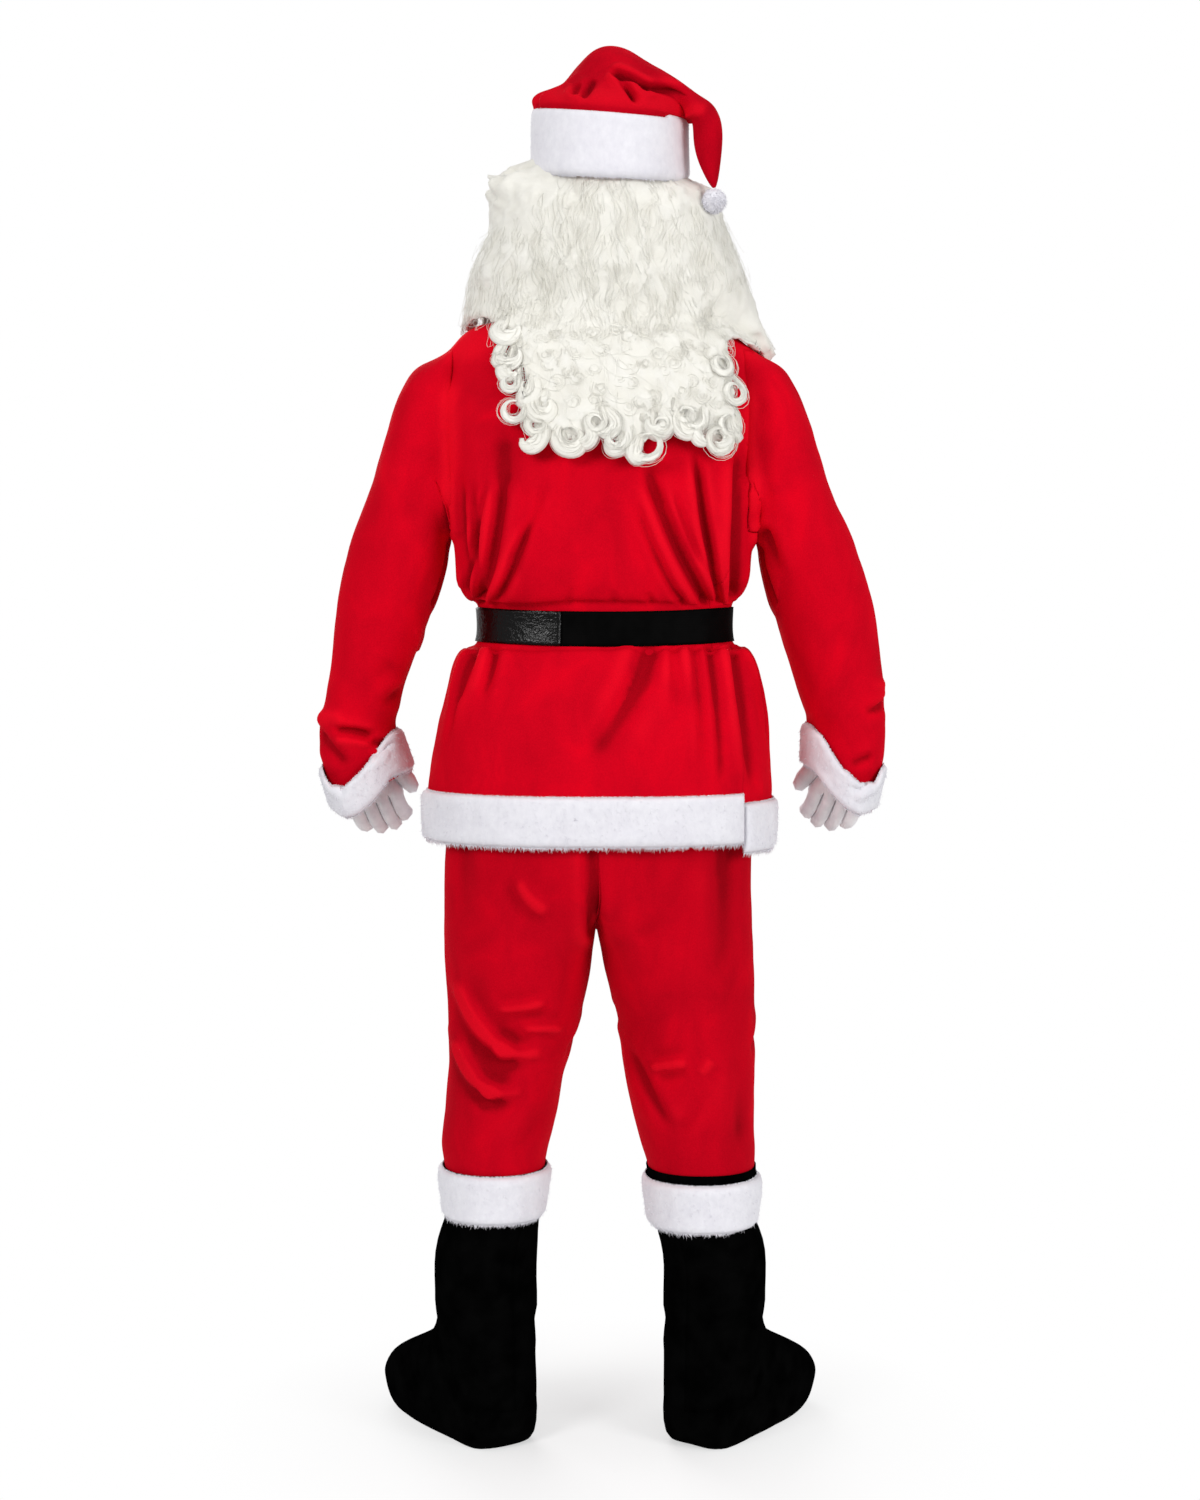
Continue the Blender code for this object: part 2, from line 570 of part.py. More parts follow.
def make_belt(cloth, rings):
    """The belt's two straps, which ride over the front trim, and its buckle."""
    closure = BACK_COLUMNS + RIGHT_COLUMNS
    count = closure + LEFT_COLUMNS
    over_trim = set()
    for ring in (rings["belt bottom"], rings["belt top"]):
        over_trim.update(ring[c % count] for c in (closure - 1, closure, closure + 1))

    def seat(vert):
        return SEAM_GAP + (SATIN + SEAM_GAP if vert in over_trim else 0.0)

    spans = {
        "belt_vinyl": ("vinyl", VINYL, list(range(closure, count)) + list(range(0, VINYL_END))),
        "belt_satin": ("satin", SATIN, list(range(VINYL_END, closure))),
    }
    for name, (kind, wall, columns) in spans.items():
        faces = band_faces(cloth, rings["belt top"], rings["belt bottom"], columns)
        cut_piece(name, cloth, kind, seat, lambda vert, wall=wall: seat(vert) + wall, faces)
    make_buckle(rings, closure, SEAM_GAP + SATIN + 2 * SEAM_GAP + VINYL)


def make_buckle(rings, closure, clearance):
    """A plain rectangular frame with a prong, flat against the front of the belt."""
    corners = [rings[name][closure] for name in ("belt bottom", "belt top")]
    middle = (corners[0].co + corners[1].co) / 2
    facing = (corners[0].normal + corners[1].normal)
    facing.z = 0.0
    facing.normalize()
    across = UP.cross(facing)
    plane = Matrix.Translation(middle + facing * clearance - UP * NECK_HEIGHT)
    plane @= Matrix((across, UP, facing)).transposed().to_4x4()

    bm = bmesh.new()
    outer = rounded_rectangle(bm, BUCKLE_WIDTH, BUCKLE_HEIGHT, BUCKLE_CORNER)
    inner = rounded_rectangle(bm, BUCKLE_WIDTH - 2 * BUCKLE_BAR,
                              BUCKLE_HEIGHT - 2 * BUCKLE_BAR, BUCKLE_CORNER / 2)
    bmesh.ops.bridge_loops(bm, edges=outer + inner)
    thicken(bm, BUCKLE_METAL)
    bmesh.ops.transform(bm, matrix=plane, verts=bm.verts)
    add_piece("belt_buckle", bm, "brass")

    bm = bmesh.new()
    length = BUCKLE_WIDTH - 2 * BUCKLE_BAR - 2 * SEAM_GAP
    edges = rounded_rectangle(bm, length, PRONG_WIDTH, 0.4 * PRONG_WIDTH)
    bmesh.ops.contextual_create(bm, geom=edges)
    thicken(bm, PRONG_DEPTH)
    bmesh.ops.transform(bm, matrix=plane, verts=bm.verts)
    add_piece("belt_prong", bm, "brass")


def rounded_rectangle(bm, width, height, radius):
    """The edges of a rectangle with round corners, in the XY plane."""
    points = []
    for corner in range(4):
        middle = Vector(((width / 2 - radius) * (1 if corner in (0, 3) else -1),
                         (height / 2 - radius) * (1 if corner in (0, 1) else -1), 0.0))
        for step in range(4):
            angle = math.radians(90 * corner + 30 * step)
            points.append(middle + radius * Vector((math.cos(angle), math.sin(angle), 0.0)))
    verts = [bm.verts.new(point) for point in points]
    return [bm.edges.new((verts[i], verts[(i + 1) % len(verts)])) for i in range(len(verts))]


def thicken(bm, depth):
    """Pull the flat faces up along +Z into a solid whose faces point out."""
    extruded = bmesh.ops.extrude_face_region(bm, geom=bm.faces[:])
    moved = [item for item in extruded["geom"] if isinstance(item, bmesh.types.BMVert)]
    bmesh.ops.translate(bm, verts=moved, vec=UP * depth)
    bmesh.ops.recalc_face_normals(bm, faces=bm.faces)


def make_waistband():
    """The trousers' elastic casing, under the jacket where the belt draws it in."""
    cloth = Cloth()
    angles = body_angles()
    inset = VELOUR + 2 * SEAM_GAP
    rings = []
    for name in ("belt top", "belt bottom"):
        row = TORSO[name]
        reach = [value - inset for value in (row.left, row.right, row.back, row.front)]
        rings.append(cloth.ring(body_ring(Body(row.height, *reach, 0.0, row.square), angles)))
    cloth.bridge(rings[0], rings[1], lambda column: "trouser_waistband")
    cloth.settle()
    cut_piece("trouser_waistband", cloth, "velour", -CASING, 0.0)


# ---------------------------------------------------------------- trousers and boots
def make_trousers():
    """The hips as one tube that splits at the crotch into two legs."""
    cloth = Cloth()
    angles = spread(0, 360, HIP_COLUMNS)
    rings = [cloth.ring(body_ring(row, angles)) for row in HIPS.values()]
    quarter = HIP_COLUMNS // 4

    def hip_panel(column):
        side = "left" if column < quarter or column >= 3 * quarter else "right"
        face = "back" if column < 2 * quarter else "front"
        return f"trouser_{face}_{side}"

    for upper, lower in zip(rings, rings[1:]):
        cloth.bridge(upper, lower, hip_panel)
    saddle = cloth.ring(Vector((0.0, y, height)) for y, height in CROTCH)
    hip = rings[-1]
    left_start = hip[3 * quarter:] + hip[:quarter + 1]
    right_start = (hip[quarter:3 * quarter + 1])[::-1]
    legs = {}
    for side, start, crotch, table in (("left", left_start, saddle, LEG_LEFT),
                                       ("right", right_start, saddle, LEG_RIGHT)):
        legs[side] = add_leg(cloth, start + crotch, table, side)
    cloth.settle(FOLDS)
    for side in ("left", "right"):
        for face in ("back", "front"):
            cut_piece(f"trouser_{face}_{side}", cloth, "velour", -VELOUR, 0.0)
    return cloth, legs


def add_leg(cloth, start, table, side):
    """A leg whose ring runs from the front seam round the outside to the back and inside."""
    sign = 1 if side == "left" else -1
    outseam = HIP_COLUMNS // 4
    even = [(k - outseam) * 360 / LEG_SIDES for k in range(LEG_SIDES)]
    rings = [start]
    for row in table:
        middle = (row.outer + row.inner) / 2
        half_width = (row.outer - row.inner) / 2
        points = []
        for angle in even:
            c, s = curve(angle, 2.2)
            depth = row.back if s > 0 else row.front
            points.append(Vector((sign * (middle + half_width * c), depth * s, row.height)))
        ring = cloth.ring(points)
        inseam = outseam + LEG_SIDES // 2

        def panel(column):
            face = "back" if outseam <= column < inseam else "front"
            return f"trouser_{face}_{side}"

        cloth.bridge(rings[-1], ring, panel)
        rings.append(ring)
    return rings


def make_boot(side, leg):
    """A boot cover: its top is made from the leg's own points, moved out."""
    sign = 1 if side == "left" else -1
    turn = math.radians(TOE_OUT)
    ahead = Vector((sign * math.sin(turn), -math.cos(turn), 0.0))
    outward = Vector((sign * math.cos(turn), math.sin(turn), 0.0))
    cloth = Cloth()
    clear = SEAM_GAP + FELT
    rings = [cloth.ring(v.co + v.normal * clear for v in ring) for ring in leg[-INSIDE_BOOT:]]
    angles = [(k - TOE_COLUMN) * 360 / LEG_SIDES for k in range(LEG_SIDES)]
    for row in BOOT:
        front = ANKLE[side] + ahead * row.front + UP * row.front_height
        back = ANKLE[side] + ahead * row.back + UP * row.back_height
        points = outline_ring(front, back, row.half_width, outward, angles, row.square)
        rings.append(cloth.ring(Vector((p.x, p.y, max(p.z, SOLE_LEVEL))) for p in points))
    outer_name, inner_name = f"boot_outer_{side}", f"boot_inner_{side}"
    heel = TOE_COLUMN + LEG_SIDES // 2

    def half(column):
        return outer_name if TOE_COLUMN <= column < heel else inner_name

    for index, (upper, lower) in enumerate(zip(rings, rings[1:])):
        def panel(column, index=index):
            if index >= FIRST_SOLE_ROW and column in SOLE_COLUMNS:
                return f"boot_sole_{side}"
            return half(column)
        cloth.bridge(upper, lower, panel)
    tip = ANKLE[side] + ahead * BOOT_TIP[0] + UP * BOOT_TIP[1]
    cloth.fan(rings[-1], tip, half)
    cloth.settle()
    cut_piece(outer_name, cloth, "felt", -FELT, 0.0)
    cut_piece(inner_name, cloth, "felt", -FELT, 0.0)
    cut_piece(f"boot_sole_{side}", cloth, "felt", -SOLE, 0.0)
    faces = []
    for upper, lower in zip(rings[:INSIDE_BOOT - 1], rings[1:INSIDE_BOOT]):
        faces += band_faces(cloth, upper, lower)
    cut_piece(f"boot_cuff_{side}", cloth, "plush", SEAM_GAP, SEAM_GAP + PLUSH, faces)


# ---------------------------------------------------------------- hat
def make_hat():
    """The crown falls to the wearer's right; the band lies round its lower edge."""
    cloth = Cloth()
    lean = Vector((0.0, math.cos(HAT_LEAN), -math.sin(HAT_LEAN)))
    angles = spread(0, 360, CROWN_SIDES)
    rings = []
    for row in CROWN:
        outer = Vector((row.outer, row.backward, row.outer_height))
        inner = Vector((row.inner, row.backward, row.inner_height))
        rings.append(cloth.ring(outline_ring(outer, inner, row.half_depth, lean, angles)))
    for lower, upper in zip(rings, rings[1:]):
        cloth.bridge(upper, lower, lambda column: "hat_crown")
    last = CROWN[-1]
    tip = Vector(((last.outer + last.inner) / 2, last.backward, last.inner_height - 0.002))
    cloth.fan(rings[-1], tip, lambda column: "hat_crown")
    cloth.settle()
    cut_piece("hat_crown", cloth, "velour", -VELOUR, 0.0)
    faces = band_faces(cloth, rings[1], rings[0]) + band_faces(cloth, rings[2], rings[1])
    cut_piece("hat_band", cloth, "plush", SEAM_GAP, SEAM_GAP + PLUSH, faces)

    bm = bmesh.new()
    bmesh.ops.create_uvsphere(bm, u_segments=12, v_segments=8, radius=POMPOM_RADIUS)
    bmesh.ops.translate(bm, verts=bm.verts, vec=POMPOM_PLACE - UP * NECK_HEIGHT)
    add_piece("hat_pompom", bm, "plush")


# ---------------------------------------------------------------- wig and beard
def make_hair(jacket_rings):
    """One shell of hair round the head and over the shoulders, open at the face."""
    cloth = Cloth()
    angles = body_angles()
    count = len(angles)
    rings = []
    for row in HAIR_ROWS:
        section = Body(*row[:-1], 2.1)
        rings.append(cloth.ring(body_ring(section, angles)))
    closure = BACK_COLUMNS + RIGHT_COLUMNS
    over_trim = range(closure - 2, closure + 3)
    lift = [2 * SEAM_GAP + PLUSH if c in over_trim else SEAM_GAP for c in range(count)]
    for name in HAIR_ON_JACKET:
        points = [v.co + v.normal * rise for v, rise in zip(jacket_rings[name], lift)]
        rings.append(cloth.ring(points))
    upper, lower, share = LONGEST_HAIR
    points = []
    for above, below in zip(jacket_rings[upper], jacket_rings[lower]):
        outward = above.normal.lerp(below.normal, share).normalized()
        points.append(above.co.lerp(below.co, share) + outward * LONGEST_HAIR_GAP)
    rings.append(cloth.ring(points))
    head_rows = len(HAIR_ROWS)

    def hair_piece(row, column):
        """The piece of the band below a row of the hair, or None where there is no hair."""
        in_wig = column in WIG_LOWEST or column in WIG_LAST_SIDE
        if row < FACE_TOP_ROW:
            return "wig"
        lowest = WIG_LOWEST.get(column, BEARD_LOWEST.get(column, 1))
        if row >= head_rows - 1 + lowest:
            return None
        if in_wig:
            return "wig"
        return "beard" if row >= BEARD_TOP_ROW else None

    for row, (upper, lower) in enumerate(zip(rings, rings[1:])):
        cloth.bridge(upper, lower, lambda column, row=row: hair_piece(row, column))
    cloth.fan(rings[0], HAIR_TOP, lambda column: "wig")
    cloth.settle()
    reach = {}
    for ring, row in zip(rings, HAIR_ROWS):
        reach.update({v: row.reach for v in ring})
    for ring in rings[head_rows:]:
        reach.update({v: HAIR for v in ring})

    def thickness(vert):
        return reach.get(vert, NETTING)

    for name in ("wig", "beard"):
        cut_piece(name, cloth, "hair", 0.0, thickness)


# ---------------------------------------------------------------- gloves
# A glove's joints in its own frame: x across the palm from the index finger, y out of the
# back of the hand, z from the wrist towards the fingertips.
PALM = ((0.000, 0.024, 0.016), (0.024, 0.028, 0.016), (0.066, 0.038, 0.014))
FINGER_LENGTHS = (0.076, 0.085, 0.080, 0.063)
FINGER_STEPS = ((0.12, 36.0, 0.82), (0.44, 56.0, 0.94), (0.44, 36.0, 0.84))
THUMB_STEPS = ((0.004, 74.0), (0.035, 8.0), (0.031, -4.0))
HAND_INSIDE = 0.054           # how far the glove's wrist lies up inside the cuff
HAND_OUTWARD = {1: 0.0028, -1: 0.0042}   # the thumb's side needs more room in the cuff


def make_glove(name, arm, sign):
    """A hollow glove, open at the wrist: its fingers are pulled out of the palm's end."""
    before, last = [arm_points(row, sign) for row in arm[-2:]]
    across = (last[0] - last[1]).normalized()
    cuff_end = (last[0] + last[1]) / 2
    along = (cuff_end - (before[0] + before[1]) / 2).normalized()
    z_axis = (along + BACK.cross(across) * sign).normalized()
    x_axis = (across - z_axis * across.dot(z_axis)).normalized()
    y_axis = z_axis.cross(x_axis) * -sign
    bm = bmesh.new()
    rings = []
    for z, half_width, half_depth in PALM:
        ring = []
        for side in (1, -1):
            for step in range(5):
                x = (step - 2) / 2 * half_width * side
                rounded = half_depth * (0.55 if abs(step - 2) == 2 else 1.0)
                ring.append(bm.verts.new((x, rounded * side, z)))
        rings.append(ring)
    for lower, upper in zip(rings, rings[1:]):
        for i in range(10):
            after = (i + 1) % 10
            bm.faces.new((lower[i], lower[after], upper[after], upper[i]))
    top = rings[-1]
    fingers = [bm.faces.new((top[i], top[9 - i], top[8 - i], top[i + 1])) for i in range(4)]
    thumb_root = next(f for f in bm.faces if set(f.verts) == {rings[0][9], rings[0][0],
                                                             rings[1][0], rings[1][9]})
    bmesh.ops.recalc_face_normals(bm, faces=bm.faces)
    for face, length in zip(fingers, FINGER_LENGTHS):
        for share, curl, taper in FINGER_STEPS:
            face = grow(bm, face, length * share, curl, LEFT, taper)
    for length, turn in THUMB_STEPS:
        thumb_root = grow(bm, thumb_root, length, turn, BACK, 0.86)
    frame = Matrix((x_axis, y_axis, z_axis)).transposed().to_4x4()
    wrist = cuff_end - z_axis * HAND_INSIDE + x_axis * HAND_OUTWARD[sign]
    frame.translation = wrist - UP * NECK_HEIGHT
    bmesh.ops.transform(bm, matrix=frame, verts=bm.verts)
    if frame.determinant() < 0:
        bmesh.ops.reverse_faces(bm, faces=bm.faces)
    hollow(bm, KNIT)
    add_piece(name, bm, "knit")


def grow(bm, face, length, turn, axis, taper):
    """Pull a face out along its normal in one step, then bend and narrow its end."""
    normal = face.normal.copy()
    extruded = bmesh.ops.extrude_discrete_faces(bm, faces=[face])["faces"][0]
    verts = extruded.verts[:]
    bmesh.ops.translate(bm, verts=verts, vec=normal * length)
    middle = extruded.calc_center_median()
    bend = Matrix.Rotation(math.radians(turn), 3, axis)
    for vert in verts:
        vert.co = middle + bend @ ((vert.co - middle) * taper)
    bm.normal_update()
    return extruded


def hollow(bm, wall):
    """Give an open skin a wall on its inner side and close the wall round its opening."""
    bm.normal_update()
    outer = bm.verts[:]
    inner = {v: bm.verts.new(v.co - v.normal * wall) for v in outer}
    rim = [loop for face in bm.faces for loop in face.loops if loop.edge.is_boundary]
    rims = [(loop.vert, loop.link_loop_next.vert) for loop in rim]
    for face in bm.faces[:]:
        bm.faces.new([inner[v] for v in reversed(face.verts[:])])
    for start, end in rims:
        bm.faces.new((end, start, inner[start], inner[end]))


# ---------------------------------------------------------------- assembly
def main():
    for item in list(bpy.data.objects):
        bpy.data.objects.remove(item)
    jacket, jacket_rings = make_jacket()
    make_glove("glove_left", ARM_LEFT, 1)
    make_glove("glove_right", ARM_RIGHT, -1)
    make_waistband()
    trousers, legs = make_trousers()
    for side, leg in legs.items():
        make_boot(side, leg)
    make_hat()
    make_hair(jacket_rings)


main()
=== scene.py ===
import math
from collections import namedtuple

import bmesh
import bpy
import numpy as np
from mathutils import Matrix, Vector, noise
from mathutils.bvhtree import BVHTree
from mathutils.kdtree import KDTree


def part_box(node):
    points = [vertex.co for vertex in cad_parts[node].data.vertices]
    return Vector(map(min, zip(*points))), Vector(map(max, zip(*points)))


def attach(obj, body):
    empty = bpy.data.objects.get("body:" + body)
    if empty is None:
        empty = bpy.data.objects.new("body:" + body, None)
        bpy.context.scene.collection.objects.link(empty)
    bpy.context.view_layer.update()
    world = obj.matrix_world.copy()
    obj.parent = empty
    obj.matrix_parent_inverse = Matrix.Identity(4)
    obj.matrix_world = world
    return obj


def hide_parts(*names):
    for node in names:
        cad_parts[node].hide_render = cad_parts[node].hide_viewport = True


# A worn Santa suit: velour, plush, curled hair, vinyl, satin, felt and knit.  Each
# garment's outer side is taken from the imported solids, welded at its seams, rounded and
# creased.  It is then cut into its pieces again, and trims and belt are peeled off the
# same side, so that they follow it.  Metres; +Y is the suit's back; heights in the tables
# are above the floor, and sideways places are towards the wearer's left.

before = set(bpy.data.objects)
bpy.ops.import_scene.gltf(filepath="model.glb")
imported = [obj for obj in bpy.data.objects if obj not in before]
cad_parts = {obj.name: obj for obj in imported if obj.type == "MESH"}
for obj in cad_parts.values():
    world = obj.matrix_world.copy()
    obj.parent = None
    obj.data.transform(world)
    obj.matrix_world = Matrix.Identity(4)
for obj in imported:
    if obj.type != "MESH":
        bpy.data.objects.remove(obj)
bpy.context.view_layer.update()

NECK_HEIGHT = 1.520           # the frame's origin above the floor
SEAM_GAP = 0.0003             # between a piece and what it lies on
VELOUR_WALL = 0.0016
PLUSH_BACKING = 0.0015
VINYL_WALL = 0.0024
SATIN_WALL = 0.0016
FELT_WALL = 0.0018

SIDES = {                     # index of the sideways coordinate, and the way the side faces
    "back": (0, np.array([0.0, 1.0, 0.0])),
    "front": (0, np.array([0.0, -1.0, 0.0])),
    "left": (1, np.array([1.0, 0.0, 0.0])),
    "right": (1, np.array([-1.0, 0.0, 0.0])),
}

# A crease runs between two points seen from one side and bows aside in its middle.  Its
# depth is negative for a ridge; start and end are its strength at its two ends.
Crease = namedtuple("Crease", "side x1 height1 x2 height2 bow half_width depth start end")


def creases(side, *rows):
    return [Crease(side, *row) for row in rows]


JACKET_CREASES = creases(
    "back",
    # pleats that fan up from the belt
    (0.176, 1.300, 0.164, 1.128, 0.000, 0.0061, 0.0061, 0.8, 1.0),
    (0.161, 1.290, 0.153, 1.128, 0.003, 0.0053, 0.0061, 0.8, 1.0),
    (0.118, 1.300, 0.150, 1.128, 0.006, 0.0074, 0.0074, 0.8, 1.0),
    (0.084, 1.235, 0.134, 1.124, 0.006, 0.0057, 0.0054, 0.6, 1.0),
    (0.100, 1.200, 0.124, 1.126, 0.000, 0.0055, 0.0030, 0.2, 0.9),
    (0.116, 1.345, 0.120, 1.268, 0.000, 0.0148, 0.0041, 0.6, 0.8),
    (0.140, 1.290, 0.172, 1.140, 0.004, 0.0045, 0.0047, 0.6, 1.0),
    (0.062, 1.292, 0.118, 1.170, 0.008, 0.0049, 0.0030, 0.6, 0.6),
    (-0.060, 1.310, -0.146, 1.122, -0.006, 0.0078, 0.0081, 0.8, 1.0),
    (-0.048, 1.262, -0.112, 1.124, -0.006, 0.0049, 0.0038, 0.6, 1.0),
    (-0.096, 1.280, -0.152, 1.150, -0.005, 0.0045, 0.0041, 0.6, 0.8),
    (-0.126, 1.330, -0.160, 1.130, -0.004, 0.0057, 0.0081, 0.8, 1.0),
    (-0.186, 1.340, -0.180, 1.136, 0.000, 0.0082, 0.0098, 0.7, 1.0),
    (-0.064, 1.142, -0.074, 1.122, 0.000, 0.0045, 0.0030, 0.3, 1.0),
    (-0.104, 1.146, -0.119, 1.121, 0.000, 0.0045, 0.0035, 0.2, 1.0),
    (0.030, 1.150, 0.036, 1.122, 0.000, 0.0060, 0.0018, 0.2, 1.0),
    (-0.020, 1.146, -0.024, 1.122, 0.000, 0.0060, 0.0018, 0.2, 1.0),
    # below the belt
    (0.156, 1.068, 0.184, 0.992, 0.000, 0.0068, 0.0068, 1.0, 0.4),
    (0.131, 1.068, 0.150, 1.000, 0.003, 0.0064, 0.0054, 1.0, 0.4),
    (0.096, 1.066, -0.042, 1.060, 0.026, 0.0100, 0.0030, 0.9, 0.5),
    (-0.068, 1.062, 0.019, 0.918, 0.010, 0.0145, 0.0061, 1.0, 0.4),
    (-0.100, 1.068, -0.104, 0.985, 0.000, 0.0068, 0.0034, 1.0, 0.4),
    (-0.127, 1.068, -0.139, 0.900, 0.003, 0.0068, 0.0042, 1.0, 0.4),
    (-0.147, 1.068, -0.162, 0.880, 0.003, 0.0072, 0.0055, 1.0, 0.4),
    (-0.180, 1.068, -0.206, 0.870, 0.000, 0.0072, 0.0060, 1.0, 0.5),
    (0.060, 0.980, 0.110, 0.960, 0.004, 0.0160, 0.0018, 0.3, 0.3),
    # armholes and the folds that leave them
    (-0.219, 1.215, -0.240, 1.160, 0.002, 0.0070, 0.0060, 1.0, 0.2),
    (0.222, 1.300, 0.258, 1.225, 0.006, 0.0140, 0.0030, 0.5, 0.3),
    (-0.240, 1.310, -0.275, 1.240, -0.006, 0.0140, 0.0030, 0.5, 0.3),
    # elbows and forearms
    (0.352, 0.956, 0.292, 0.947, 0.004, 0.0060, 0.0075, 0.8, 0.9),
    (0.300, 0.943, 0.276, 0.935, 0.000, 0.0060, 0.0050, 0.6, 0.8),
    (0.372, 0.948, 0.330, 0.905, 0.003, 0.0090, 0.0055, 1.0, 0.5),
    (0.368, 0.973, 0.330, 0.972, 0.004, 0.0100, -0.0040, 1.0, 0.3),
    (0.256, 1.008, 0.286, 0.990, 0.000, 0.0080, 0.0045, 1.0, 0.2),
    (0.262, 1.050, 0.300, 1.030, 0.004, 0.0120, 0.0030, 0.8, 0.2),
    (-0.386, 0.992, -0.352, 0.982, 0.003, 0.0065, 0.0060, 1.0, 0.2),
    (-0.385, 1.020, -0.362, 1.012, 0.000, 0.0080, -0.0035, 1.0, 0.2),
    (-0.268, 0.972, -0.292, 0.950, 0.000, 0.0080, 0.0050, 1.0, 0.3),
    (-0.336, 0.908, -0.372, 0.922, 0.002, 0.0065, 0.0045, 0.5, 0.8),
    (-0.302, 1.090, -0.345, 1.060, 0.006, 0.0140, 0.0030, 0.3, 0.3),
) + creases(
    "front",
    # the front blouses over the belt in the same way
    (0.150, 1.285, 0.128, 1.128, 0.004, 0.0085, 0.0055, 0.3, 1.0),
    (0.110, 1.262, 0.098, 1.126, 0.003, 0.0075, 0.0045, 0.2, 1.0),
    (0.052, 1.235, 0.062, 1.124, 0.004, 0.0070, 0.0040, 0.1, 1.0),
    (-0.108, 1.260, -0.090, 1.126, -0.003, 0.0080, 0.0050, 0.2, 1.0),
    (-0.142, 1.292, -0.124, 1.128, -0.004, 0.0085, 0.0060, 0.3, 1.0),
    (-0.176, 1.310, -0.158, 1.130, 0.000, 0.0085, 0.0060, 0.5, 1.0),
    (0.175, 1.330, 0.158, 1.134, 0.000, 0.0090, 0.0060, 0.6, 1.0),
    (0.020, 1.160, 0.024, 1.122, 0.000, 0.0060, 0.0030, 0.2, 1.0),
    (-0.086, 1.180, -0.070, 1.122, 0.000, 0.0055, 0.0030, 0.2, 1.0),
    (0.148, 1.068, 0.170, 0.930, 0.003, 0.0085, 0.0055, 1.0, 0.3),
    (0.105, 1.068, 0.118, 0.950, 0.000, 0.0080, 0.0045, 1.0, 0.2),
    (0.060, 1.066, 0.022, 0.955, 0.008, 0.0140, 0.0040, 1.0, 0.2),
    (-0.095, 1.068, -0.106, 0.965, 0.000, 0.0080, 0.0040, 1.0, 0.2),
    (-0.132, 1.068, -0.150, 0.930, 0.000, 0.0085, 0.0055, 1.0, 0.3),
    (-0.172, 1.068, -0.196, 0.905, 0.000, 0.0090, 0.0055, 1.0, 0.4),
    (0.190, 1.380, 0.188, 1.215, 0.000, 0.0070, 0.0045, 0.3, 1.0),
    (-0.200, 1.380, -0.200, 1.215, 0.000, 0.0070, 0.0045, 0.3, 1.0),
    (0.205, 1.250, 0.262, 1.205, 0.006, 0.0100, 0.0045, 1.0, 0.2),
    (-0.220, 1.250, -0.280, 1.205, -0.006, 0.0100, 0.0045, 1.0, 0.2),
    (0.250, 1.120, 0.330, 1.090, 0.008, 0.0090, 0.0060, 0.9, 0.3),
    (0.256, 1.080, 0.320, 1.068, -0.006, 0.0090, 0.0050, 0.9, 0.3),
    (-0.268, 1.125, -0.350, 1.092, -0.008, 0.0090, 0.0060, 0.9, 0.3),
    (-0.276, 1.085, -0.342, 1.070, 0.006, 0.0090, 0.0050, 0.9, 0.3),
    (0.270, 0.985, 0.330, 0.975, 0.004, 0.0080, 0.0050, 0.8, 0.3),
    (-0.290, 0.990, -0.350, 0.975, -0.004, 0.0080, 0.0050, 0.8, 0.3),
) + creases(
    "left",
    # the sides, below the belt and above it
    (0.060, 1.068, 0.080, 0.930, 0.000, 0.0080, 0.0050, 1.0, 0.3),
    (0.000, 1.068, 0.004, 0.950, 0.000, 0.0080, 0.0045, 1.0, 0.2),
    (-0.060, 1.068, -0.084, 0.925, 0.000, 0.0080, 0.0050, 1.0, 0.3),
) + creases(
    "right",
    (0.030, 1.068, 0.040, 0.935, 0.000, 0.0080, 0.0050, 1.0, 0.3),
    (-0.040, 1.068, -0.052, 0.945, 0.000, 0.0080, 0.0045, 1.0, 0.2),
) + creases(
    "left",
    (0.030, 1.240, 0.022, 1.132, 0.000, 0.0080, 0.0050, 0.4, 1.0),
    (-0.040, 1.230, -0.036, 1.132, 0.000, 0.0080, 0.0045, 0.3, 1.0),
) + creases(
    "right",
    (0.020, 1.230, 0.016, 1.132, 0.000, 0.0080, 0.0050, 0.3, 1.0),
    (-0.050, 1.240, -0.044, 1.132, 0.000, 0.0080, 0.0050, 0.4, 1.0),
)

